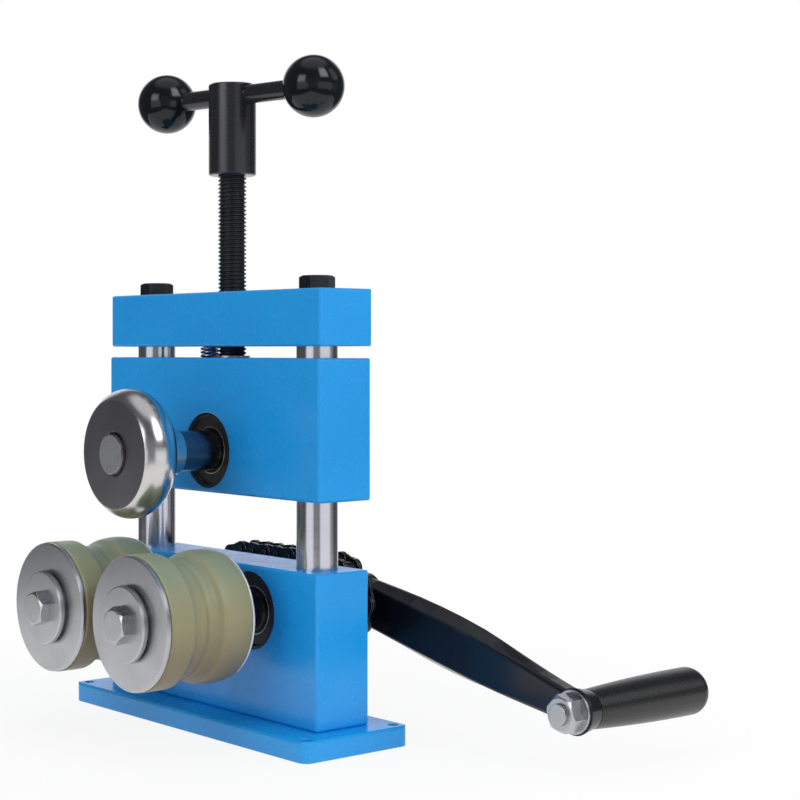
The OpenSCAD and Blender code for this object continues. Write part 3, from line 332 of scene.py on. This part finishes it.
def blue_paint():
    """Enamel with a slight orange peel and painted highlights on its edges."""
    look = Nodes("blue_paint")
    cloudy = look.noise(9.0, 2.0)
    colour = look.mix(look.ramp(cloudy, 0.35, 0.65, 0.0, 1.0), PAINT_DEEP, PAINT_LIGHT)
    # Painted highlight: the edges go part of the way to a lighter blue
    colour = look.edge_wear_and_highlight(colour, 0.0012, 0.45, PAINT_EDGE_HIGHLIGHT)
    peel = look.noise(420.0, 2.0)
    return look.finish(
        Base_Color=colour,
        Roughness=look.spread(look.noise(60.0, 3.0), 0.24, 0.31),
        Specular_IOR_Level=0.5,
        Normal=look.bump(peel, 0.000012, 0.4, look.rounded(0.0013)),
    )


def ground_steel():
    """Ground and polished posts, bearing balls and spring wire."""
    look = Nodes("ground_steel")
    around = look.noise(160.0, 3.0, 0.5, stretch=(0.15, 0.15, 9.0))
    patch = look.noise(25.0, 2.0)
    mean = look.math("MULTIPLY", look.math("ADD", around, patch), 0.5)
    colour = look.mix(mean, (0.50, 0.50, 0.54, 1.0), (0.66, 0.66, 0.70, 1.0))
    return look.finish(
        Base_Color=colour,
        Metallic=1.0,
        Roughness=look.ramp(around, 0.25, 0.75, 0.13, 0.20),
        Normal=look.bump(around, 0.000006, 0.4, look.rounded(0.0004)),
    )


def bearing_metal(name, centre_x, centre_z, fold=False):
    """Rings of a bearing painted nearly black for the shade they sit in, with bright turned corners."""
    look = Nodes(name)
    radius = look.radius_about(centre_x, centre_z, fold)
    inner = look.near(radius, BEARING_LINE_INNER, BEARING_LINE_FULL, BEARING_LINE_GONE)
    outer = look.near(radius, BEARING_LINE_OUTER, BEARING_LINE_FULL, BEARING_LINE_GONE)
    line = look.math("MAXIMUM", inner, outer)
    oil = look.noise(300.0, 3.0)
    # Painted shade: the rings are nearly black, varied by a noise
    painted_shade = look.mix(oil, (0.025, 0.025, 0.030, 1.0), (0.060, 0.058, 0.062, 1.0))
    colour = look.mix(line, painted_shade, (0.75, 0.68, 0.56, 1.0))
    return look.finish(
        Base_Color=colour,
        Metallic=1.0,
        Roughness=look.spread(oil, 0.20, 0.32),
        Normal=look.bump(oil, 0.00001, 0.3, look.rounded(0.0004)),
    )


def turned_steel():
    """Faces of the lower rollers, with turned rings about each shaft and painted highlights on the
    edges.
    """
    look = Nodes("lower_roller_steel")
    ring = look.lathe_rings(look.radius_about(AXIS_X, LOWER_AXIS_Z, fold=True), 1600.0)
    patch = look.noise(70.0, 3.0)
    colour = look.mix(ring, (0.405, 0.415, 0.45, 1.0), grey(0.60))
    colour = look.mix(look.ramp(patch, 0.4, 0.75, 0.0, 0.25), colour, grey(0.336))
    # Painted highlight: the edges go nearly white and less metallic
    edge = look.edges(0.0006)
    colour = look.mix(look.math("MULTIPLY", edge, 0.8), colour, grey(0.95))
    return look.finish(
        Base_Color=colour,
        Metallic=look.ramp(edge, 0.0, 1.0, 1.0, 0.5),
        Roughness=look.ramp(look.math("ADD", ring, patch), 0.6, 1.4, 0.28, 0.37),
        Anisotropic=0.4,
        Normal=look.bump(ring, 0.000015, 0.35, look.rounded(0.0005)),
    )


def shaft_steel():
    """Dark ground shafts with a brighter, freshly turned end and painted highlights on their edges."""
    look = Nodes("shaft_steel")
    end = look.ramp(look.math("ABSOLUTE", look.normal_part("Y")), 0.85, 0.97, 0.0, 1.0)
    ring = look.lathe_rings(look.radius_about(0.0, UPPER_AXIS_Z), 1300.0)
    wear = look.noise(90.0, 3.0)
    side = look.mix(wear, (0.13, 0.125, 0.15, 1.0), (0.22, 0.21, 0.24, 1.0))
    turned = look.mix(ring, grey(0.46), grey(0.70))
    # Painted highlight: the edges go most of the way to a light grey
    colour = look.edge_wear_and_highlight(look.mix(end, side, turned), 0.0005, 0.7, grey(0.85))
    return look.finish(
        Base_Color=colour,
        Metallic=look.ramp(end, 0.0, 1.0, 1.0, 0.8),
        Roughness=look.ramp(look.math("ADD", ring, wear), 0.6, 1.4, 0.24, 0.33),
        Normal=look.bump(ring, 0.00001, 0.3, look.rounded(0.0005)),
    )


def rim_steel():
    """Bright satin rim of a flange, which catches the lamps."""
    look = Nodes("rim_steel")
    around = look.noise(300.0, 3.0, 0.5, stretch=(0.3, 6.0, 0.3))
    colour = look.mix(around, grey(0.72), grey(0.88))
    return look.finish(
        Base_Color=colour,
        Metallic=0.55,
        Roughness=look.spread(around, 0.30, 0.42),
        Normal=look.bump(around, 0.00001, 0.3, look.rounded(0.0005)),
    )


def crowned_steel():
    """The upper roller: a dark turned face and a polished rim and hub."""
    look = Nodes("upper_roller_steel")
    radius = look.radius_about(0.0, UPPER_AXIS_Z)
    along = look.node("ShaderNodeSeparateXYZ", {0: look.coords}).outputs["Y"]
    behind = look.math("SUBTRACT", along, UPPER_FACE_Y)
    in_front = look.ramp(behind, UPPER_FACE_HOLD, UPPER_FACE_END, 1.0, 0.0)
    inside = look.ramp(radius, UPPER_FACE_R - UPPER_FACE_BLUR, UPPER_FACE_R, 1.0, 0.0)
    facing = look.math("MULTIPLY", in_front, inside)
    ring = look.lathe_rings(radius, 1500.0)
    patch = look.noise(60.0, 3.0)
    face = look.mix(ring, (0.25, 0.243, 0.265, 1.0), (0.38, 0.370, 0.395, 1.0))
    rim = look.mix(patch, (0.58, 0.57, 0.56, 1.0), (0.70, 0.69, 0.68, 1.0))
    rough = look.math("ADD", look.spread(patch, 0.20, 0.26), look.math("MULTIPLY", facing, 0.14))
    return look.finish(
        Base_Color=look.mix(facing, rim, face),
        Metallic=1.0,
        Roughness=rough,
        Normal=look.bump(ring, 0.000008, 0.3, look.rounded(0.0004)),
    )


def zinc():
    """Plated bolts, nuts and washers, with painted highlights on the edges."""
    look = Nodes("zinc")
    patch = look.noise(160.0, 3.0, 0.5)
    fine = look.noise(900.0, 2.0)
    colour = look.mix(patch, (0.40, 0.41, 0.43, 1.0), (0.55, 0.56, 0.57, 1.0))
    # Painted highlight: the edges go part of the way to near white
    colour = look.edge_wear_and_highlight(colour, 0.0006, 0.6, grey(0.92))
    return look.finish(
        Base_Color=colour,
        Metallic=1.0,
        Roughness=look.spread(patch, 0.24, 0.36),
        Normal=look.bump(fine, 0.000008, 0.4, look.rounded(0.0006)),
    )


def black_oxide():
    """Blackened screws, clips and sprockets, with bare metal on the edges."""
    look = Nodes("black_oxide")
    patch = look.noise(120.0, 4.0, 0.6)
    fine = look.noise(1400.0, 2.0)
    colour = look.mix(patch, (0.018, 0.019, 0.021, 1.0), (0.055, 0.056, 0.060, 1.0))
    colour = look.edge_wear_and_highlight(colour, 0.0005, 0.55, grey(0.32))
    return look.finish(
        Base_Color=colour,
        Metallic=0.75,
        Roughness=look.spread(patch, 0.26, 0.40),
        Normal=look.bump(fine, 0.00001, 0.5, look.rounded(0.0004)),
    )


def chain_steel():
    """Oiled black chain with bright edges."""
    look = Nodes("chain_steel")
    patch = look.noise(260.0, 4.0, 0.6)
    colour = look.mix(patch, grey(0.012), grey(0.045))
    colour = look.edge_wear_and_highlight(colour, 0.0005, 0.9, (0.55, 0.53, 0.50, 1.0))
    return look.finish(
        Base_Color=colour,
        Metallic=0.8,
        Roughness=look.spread(patch, 0.18, 0.34),
        Normal=look.bump(look.noise(900.0, 3.0), 0.00002, 0.5, look.rounded(0.0004)),
    )


def cast_black():
    """Black coating over the uneven skin of a casting."""
    look = Nodes("cast_black")
    lumps = look.noise(45.0, 2.0, 0.4)
    grain = look.noise(500.0, 2.0, 0.5)
    colour = look.mix(lumps, (0.0045, 0.0055, 0.009, 1.0), (0.008, 0.0095, 0.014, 1.0))
    colour = look.edge_wear_and_highlight(colour, 0.0016, 0.30, grey(0.10))
    skin = look.math("ADD", lumps, look.math("MULTIPLY", grain, 0.02))
    return look.finish(
        Base_Color=colour,
        Roughness=look.spread(grain, 0.20, 0.27),
        Specular_IOR_Level=0.30,
        Coat_Weight=0.2,
        Coat_Roughness=0.12,
        Normal=look.bump(skin, 0.0001, 0.3, look.rounded(0.0016)),
    )


def gloss_black():
    """Polished moulded balls."""
    look = Nodes("gloss_black")
    haze = look.noise(45.0, 3.0)
    scratches = look.noise(1200.0, 2.0, stretch=(1.0, 0.05, 1.0))
    colour = look.mix(haze, (0.0045, 0.005, 0.007, 1.0), (0.008, 0.009, 0.012, 1.0))
    return look.finish(
        Base_Color=colour,
        Roughness=look.spread(haze, 0.10, 0.17),
        Specular_IOR_Level=0.30,
        Coat_Weight=0.15,
        Coat_Roughness=0.06,
        Normal=look.bump(scratches, 0.000005, 0.25, look.rounded(0.0004)),
    )


def grip_black():
    """Satin moulded grip."""
    look = Nodes("grip_black")
    haze = look.noise(60.0, 3.0)
    fine = look.noise(900.0, 2.0)
    colour = look.mix(haze, grey(0.006), grey(0.012))
    return look.finish(
        Base_Color=colour,
        Roughness=look.spread(fine, 0.26, 0.34),
        Specular_IOR_Level=0.55,
        Normal=look.bump(fine, 0.000008, 0.3, look.rounded(0.0008)),
    )


def satin_black():
    """Blackened hub and bar, with turned marks."""
    look = Nodes("satin_black")
    patch = look.noise(110.0, 3.0)
    turned = look.noise(400.0, 3.0, stretch=(0.2, 0.2, 8.0))
    colour = look.mix(patch, (0.009, 0.009, 0.012, 1.0), (0.016, 0.016, 0.021, 1.0))
    colour = look.edge_wear_and_highlight(colour, 0.0008, 0.4, grey(0.10))
    return look.finish(
        Base_Color=colour,
        Roughness=look.spread(turned, 0.22, 0.29),
        Coat_Weight=0.3,
        Coat_Roughness=0.1,
        Normal=look.bump(turned, 0.000008, 0.3, look.rounded(0.0008)),
    )


def seal_rubber():
    """Moulded seals of the bearings."""
    look = Nodes("seal_rubber")
    fine = look.noise(800.0, 3.0)
    colour = look.mix(fine, grey(0.008), grey(0.022))
    return look.finish(
        Base_Color=colour,
        Roughness=look.spread(fine, 0.35, 0.5),
        Normal=look.bump(fine, 0.00002, 0.4),
    )


def polyurethane():
    """Translucent olive tyres, with painted light making them greener where they face up and painted
    shade making them browner below.
    """
    look = Nodes("polyurethane")
    cloudy = look.noise(28.0, 3.0, 0.5)
    # Painted light and shade: the colour follows the upward part of the normal
    level = look.math("ADD", look.normal_part("Z"), look.spread(cloudy, -0.12, 0.12))
    colour = look.mix(look.ramp(level, -0.9, 0.1, 0.0, 1.0), TYRE_LOW_PAINTED_SHADE, TYRE_SIDE)
    colour = look.mix(look.ramp(level, 0.1, 0.85, 0.0, 1.0), colour, TYRE_TOP_PAINTED_LIGHT)
    fine = look.noise(160.0, 2.0)
    return look.finish(
        Base_Color=colour,
        Roughness=look.spread(fine, 0.34, 0.42),
        Specular_IOR_Level=0.35,
        Subsurface_Weight=0.55,
        Subsurface_Radius=(1.0, 0.85, 0.4),
        Subsurface_Scale=0.010,
        Normal=look.bump(fine, 0.00001, 0.3, look.rounded(0.0030)),
    )


STEEL = ground_steel()
OXIDE = black_oxide()
TYRE = polyurethane()

# Every material with the solids that wear it
FINISHES = (
    (blue_paint(), ("base_plate", "lower_block", "upper_block", "top_bar")),
    (STEEL, ("guide_posts", "lower_bearing_balls", "upper_bearing_balls", "return_spring")),
    (TYRE, ("drive_tyre", "driven_tyre")),
    (turned_steel(), (
        "drive_front_flange", "driven_front_flange",
        "drive_step_washer", "driven_step_washer",
    )),
    (rim_steel(), ("drive_roller_core", "driven_roller_core")),
    (crowned_steel(), ("upper_roller",)),
    (shaft_steel(), ("upper_shaft", "drive_shaft", "driven_shaft")),
    (bearing_metal("upper_bearing_steel", 0.0, UPPER_AXIS_Z), (
        "upper_bearing_outer_rings", "upper_bearing_inner_rings",
    )),
    (bearing_metal("lower_bearing_steel", AXIS_X, LOWER_AXIS_Z, fold=True), (
        "lower_bearing_outer_rings", "drive_bearing_inner_rings", "driven_bearing_inner_rings",
    )),
    (seal_rubber(), ("lower_bearing_seals", "upper_bearing_seals")),
    (zinc(), (
        "thrust_washer", "drive_roller_bolt", "driven_roller_bolt",
        "crank_screw", "crank_washer", "grip_spindle", "grip_nut", "grip_washer",
    )),
    (OXIDE, (
        "post_bolts", "base_screws", "pressing_screw",
        "lower_retaining_rings", "upper_retaining_rings",
        "spring_top_plug", "spring_bottom_plug",
        "upper_shaft_clip", "driven_shaft_clip", "grip_clip",
        "drive_keys", "driven_keys", "drive_sprocket", "driven_sprocket",
    )),
    (chain_steel(), (
        "chain_rollers", "chain_bushes", "chain_pins",
        "chain_inner_plates", "chain_outer_plates",
    )),
    (cast_black(), ("crank_arm",)),
    (grip_black(), ("crank_grip",)),
    (satin_black(), ("handle_hub", "cross_bar")),
    (gloss_black(), ("ball_knobs",)),
)


def dress_nodes():
    """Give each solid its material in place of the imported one."""
    for material, names in FINISHES:
        for name in names:
            slots = NODES[name].data.materials
            if not slots:
                slots.append(material)
            for index in range(len(slots)):
                slots[index] = material


def new_piece(name, mesh, material):
    piece = bpy.data.objects.new(name, mesh)
    bpy.context.scene.collection.objects.link(piece)
    mesh.materials.append(material)
    mesh.shade_smooth()
    return piece


def tube(name, path, frames, radius, sides):
    """Mesh of a tube through points, with a ring in each point's own frame."""
    mesh = bpy.data.meshes.new(name)
    verts = []
    for point, (u, v) in zip(path, frames):
        for k in range(sides):
            turn = 2 * math.pi * k / sides
            verts.append(point + radius * (math.cos(turn) * u + math.sin(turn) * v))
    faces = []
    for i in range(len(path) - 1):
        for k in range(sides):
            a, b = i * sides + k, i * sides + (k + 1) % sides
            faces.append((a, b, b + sides, a + sides))
    faces.append(tuple(reversed(range(sides))))
    last = (len(path) - 1) * sides
    faces.append(tuple(last + k for k in range(sides)))
    mesh.from_pydata([tuple(p) for p in verts], [], faces)
    return mesh


def through(points, share):
    """Height of a smooth curve through points, at a place along their first numbers."""
    for i in range(len(points) - 1):
        (x0, y0), (x1, y1) = points[i], points[i + 1]
        if share <= x1:
            break
    before = points[max(i - 1, 0)]
    after = points[min(i + 2, len(points) - 1)]
    slope0 = (y1 - before[1]) / (x1 - before[0])
    slope1 = (after[1] - y0) / (after[0] - x0)
    wide = x1 - x0
    t = (share - x0) / wide
    return (
        (2 * t**3 - 3 * t**2 + 1) * y0 + (t**3 - 2 * t**2 + t) * wide * slope0
        + (3 * t**2 - 2 * t**3) * y1 + (t**3 - t**2) * wide * slope1
    )


def within(value, low, high):
    return max(low, min(high, value))


def tyre_radius(y):
    """Outer radius of a tyre at one place along its axis."""
    share = abs(y - GROOVE_Y) / GROOVE_REACH
    radius = TYRE_R
    if y > GROOVE_Y:
        radius += math.sqrt(SHOULDER_R**2 - (y - SHOULDER_Y) ** 2) - SHOULDER_R
    if share < GROOVE_SHARES[-1][0]:
        grooved = TYRE_R - GROOVE_DEPTH * within(through(GROOVE_SHARES, share), 0.0, 1.0)
        cut = within(0.5 + (radius - grooved) / (2 * GROOVE_BLEND), 0.0, 1.0)
        radius = radius * (1 - cut) + grooved * cut - GROOVE_BLEND * cut * (1 - cut)
    return radius


def lathe(name, outline, axis_x, axis_z, sides):
    """Closed mesh turned about an axis along Y, from an outline of places and radii."""
    verts, faces = [], []
    count = len(outline)
    for k in range(sides):
        turn = 2 * math.pi * k / sides
        for y, radius in outline:
            verts.append((axis_x + radius * math.cos(turn), y, axis_z + radius * math.sin(turn)))
        here, ahead = k * count, (k + 1) % sides * count
        for j in range(count):
            after = (j + 1) % count
            faces.append((here + j, here + after, ahead + after, ahead + j))
    mesh = bpy.data.meshes.new(name)
    mesh.from_pydata(verts, [], faces)
    return mesh


def soft_tyre(name, axis_x, body):
    """A tyre turned with smooth edges to its groove."""
    low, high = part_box(name)
    front, rear = low.y, high.y
    front_r, rear_r = tyre_radius(front), tyre_radius(rear)
    slope = TYRE_CORNER * CORNER_SHARE
    outline = [(front, TYRE_BORE), (front, front_r - TYRE_CORNER), (front + slope, front_r - slope)]
    for i in range(TYRE_STEPS + 1):
        y = front + TYRE_CORNER + (rear - front - 2 * TYRE_CORNER) * i / TYRE_STEPS
        outline.append((y, tyre_radius(y)))
    outline += [(rear - slope, rear_r - slope), (rear, rear_r - TYRE_CORNER), (rear, TYRE_BORE)]
    mesh = lathe("soft_" + name, outline, axis_x, LOWER_AXIS_Z, TYRE_SIDES)
    piece = new_piece("soft_" + name, mesh, TYRE)
    mesh.set_sharp_from_angle(angle=math.radians(TYRE_SHARP_ANGLE))
    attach(piece, body)
    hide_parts(name)


def return_spring():
    """The helix, which stretches between the bar's plug and the upper block's."""
    low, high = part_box("return_spring")
    steps = (SPRING_CURLS + 2) * SPRING_CURL_STEPS
    start = low.z + SPRING_LEG + SPRING_BEND
    rise = high.z - low.z - 2 * (SPRING_LEG + SPRING_BEND)
    foot_x = SPRING_X + SPRING_LEG_R
    path = [Vector((foot_x, 0, low.z)), Vector((foot_x, 0, low.z + SPRING_LEG))]
    turns = [0.0, 0.0]
    for step in range(steps + 1):
        turn = 2 * math.pi * step / SPRING_CURL_STEPS
        share = min(1.0, step / SPRING_CURL_STEPS, (steps - step) / SPRING_CURL_STEPS)
        radius = SPRING_LEG_R + (SPRING_COIL_R - SPRING_LEG_R) * share
        x = SPRING_X + radius * math.cos(turn)
        path.append(Vector((x, radius * math.sin(turn), start + rise * step / steps)))
        turns.append(turn)
    top = path[-1]
    path += [Vector((top.x, top.y, high.z - SPRING_LEG)), Vector((top.x, top.y, high.z))]
    turns += [turns[-1], turns[-1]]
    frames = []
    for i, turn in enumerate(turns):
        in_leg = i < LEG_POINTS or i >= len(path) - LEG_POINTS
        if in_leg:
            ahead = UPWARD
        else:
            ahead = (path[i + 1] - path[i - 1]).normalized()
        out = Vector((math.cos(turn), math.sin(turn), 0))
        u = (out - out.dot(ahead) * ahead).normalized()
        frames.append((u, ahead.cross(u)))
    mesh = tube("spring_wire", path, frames, SPRING_WIRE_R, SPRING_SIDES)
    piece = new_piece("spring_wire", mesh, STEEL)
    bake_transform(piece)
    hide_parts("return_spring")


def pressing_screw():
    """The screw with its helical thread."""
    low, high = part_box("pressing_screw")
    pitches = int((high.z - low.z) / SCREW_PITCH) + 2
    verts, faces = [], []
    for k in range(SCREW_SIDES):
        turn = 2 * math.pi * k / SCREW_SIDES
        for pitch in range(-1, pitches):
            for along_share, depth_share in THREAD_SHARES:
                z = low.z + (pitch + along_share + k / SCREW_SIDES) * SCREW_PITCH
                radius = SCREW_R - depth_share * SCREW_DEPTH
                z = within(z, low.z, high.z)
                verts.append((radius * math.cos(turn), radius * math.sin(turn), z))
    per_side = (pitches + 1) * len(THREAD_SHARES)
    for k in range(SCREW_SIDES):
        shift = 0 if k + 1 < SCREW_SIDES else len(THREAD_SHARES)
        for j in range(per_side - 1 - shift):
            a = k * per_side + j
            b = (k + 1) % SCREW_SIDES * per_side + j + shift
            faces.append((a, b, b + 1, a + 1))
    mesh = bpy.data.meshes.new("threaded_screw")
    mesh.from_pydata(verts, [], faces)
    piece = new_piece("threaded_screw", mesh, OXIDE)
    mesh.set_sharp_from_angle(angle=math.radians(THREAD_SHARP_ANGLE))
    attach(piece, "screw")
    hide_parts("pressing_screw")


def camera():
    """The camera of the photograph, level, with its lens shifted."""
    data = bpy.data.cameras.new("photo_camera")
    data.sensor_width = CAMERA_SENSOR
    data.lens = CAMERA_LENS
    data.shift_x, data.shift_y = CAMERA_SHIFT
    data.clip_start = CAMERA_NEAR
    data.clip_end = CAMERA_FAR
    eye = bpy.data.objects.new("photo_camera", data)
    bpy.context.scene.collection.objects.link(eye)
    eye.location = CAMERA_PLACE
    eye.rotation_euler = (math.radians(90), 0, math.radians(CAMERA_AZIMUTH))
    bpy.context.scene.camera = eye


def area_light(name, place, aim, size, power):
    """A soft box that lights the machine and isn't seen in its metal."""
    data = bpy.data.lights.new(name, "AREA")
    data.shape = "RECTANGLE"
    data.size, data.size_y = size
    data.energy = power
    lamp = bpy.data.objects.new(name, data)
    bpy.context.scene.collection.objects.link(lamp)
    lamp.location = place
    heading = Vector(aim) - Vector(place)
    lamp.rotation_euler = heading.to_track_quat("-Z", "Y").to_euler()
    lamp.visible_glossy = False


class Sky(Nodes):
    """The room round the machine, as a mirror would show it."""

    def __init__(self, made):
        made.use_nodes = True
        self.tree = made.node_tree
        self.shader = self.tree.nodes["Background"]
        self.coords = self.tree.nodes.new("ShaderNodeTexCoord").outputs["Generated"]

    def card(self, heading, half_width, low, high, soft):
        """1 inside a panel at a heading from +X, between two heights, with soft sides."""
        turn = math.radians(heading)
        ahead = self.dot(self.coords, (math.cos(turn), math.sin(turn), 0.0))
        aside = self.dot(self.coords, (-math.sin(turn), math.cos(turn), 0.0))
        off = self.math("ABSOLUTE", self.math("ARCTAN2", aside, ahead))
        half, blur = math.radians(half_width), math.radians(soft)
        across = self.ramp(off, half - blur, half + blur, 1.0, 0.0)
        height = self.dot(self.coords, UPWARD)
        above = self.ramp(height, low - CARD_LOWER_BLUR, low + CARD_LOWER_BLUR, 0.0, 1.0)
        below = self.ramp(height, high - CARD_UPPER_BLUR, high + CARD_UPPER_BLUR, 1.0, 0.0)
        return self.math("MULTIPLY", across, self.math("MULTIPLY", above, below))


def world():
    """White to the camera, panels to mirrors, and an even light to the rest."""
    scene = bpy.context.scene
    scene.view_settings.view_transform = "Standard"
    made = bpy.data.worlds.new("studio")
    scene.world = made
    sky = Sky(made)
    level = ROOM_LEVEL
    for heading, half_width, low, high, soft, strength in CARDS:
        card = sky.card(heading, half_width, low, high, soft)
        level = sky.math("ADD", level, sky.math("MULTIPLY", card, strength))
    tint = sky.node("ShaderNodeCombineXYZ", dict(zip("XYZ", MIRROR_TINT))).outputs[0]
    mirror = sky.node("ShaderNodeBackground", {"Color": tint, "Strength": level})
    sky.put(sky.shader.inputs["Color"], AMBIENT_COLOUR)
    sky.put(sky.shader.inputs["Strength"], AMBIENT_LEVEL)
    white = sky.node("ShaderNodeBackground", {"Color": grey(1.0), "Strength": 1.0})
    ray = sky.node("ShaderNodeLightPath")
    seen = sky.math("MAXIMUM", ray.outputs["Is Glossy Ray"], ray.outputs["Is Transmission Ray"])
    room = sky.node("ShaderNodeMixShader", {0: seen, 1: sky.shader.outputs[0], 2: mirror.outputs[0]})
    whole = sky.node(
        "ShaderNodeMixShader", {0: ray.outputs["Is Camera Ray"], 1: room.outputs[0], 2: white.outputs[0]}
    )
    sky.put(sky.tree.nodes["World Output"].inputs["Surface"], whole.outputs[0])


def floor():
    """A pale floor that keeps the shadow and goes white away from the machine."""
    look = Nodes("floor")
    look.finish(Base_Color=grey(FLOOR_GREY), Roughness=0.8)
    away = look.node("ShaderNodeVectorMath", {0: look.coords}, operation="LENGTH").outputs["Value"]
    ray = look.node("ShaderNodeLightPath")
    seen = look.math("MAXIMUM", ray.outputs["Is Camera Ray"], ray.outputs["Is Glossy Ray"])
    seen = look.math("MAXIMUM", seen, ray.outputs["Is Transmission Ray"])
    share = look.math("MULTIPLY", seen, look.ramp(away, GLOW_START, GLOW_END, GLOW_SHARE, 1.0))
    glow = look.node("ShaderNodeEmission", {"Color": grey(1.0), "Strength": 1.0})
    both = look.node("ShaderNodeMixShader", {0: share, 1: look.shader.outputs[0], 2: glow.outputs[0]})
    look.put(look.tree.nodes["Material Output"].inputs["Surface"], both.outputs[0])
    mesh = bpy.data.meshes.new("floor")
    corners = [(x * FLOOR_REACH, y * FLOOR_REACH, 0) for x, y in ((-1, -1), (1, -1), (1, 1), (-1, 1))]
    mesh.from_pydata(corners, [], [(0, 1, 2, 3)])
    mesh.materials.append(look.material)
    sheet = bpy.data.objects.new("floor", mesh)
    sheet.location.z = -FLOOR_DROP
    bpy.context.scene.collection.objects.link(sheet)


camera()
world()
floor()
for lamp in LAMPS:
    area_light(*lamp)
dress_nodes()
return_spring()
pressing_screw()
soft_tyre("drive_tyre", AXIS_X, "drive")
soft_tyre("driven_tyre", -AXIS_X, "driven")
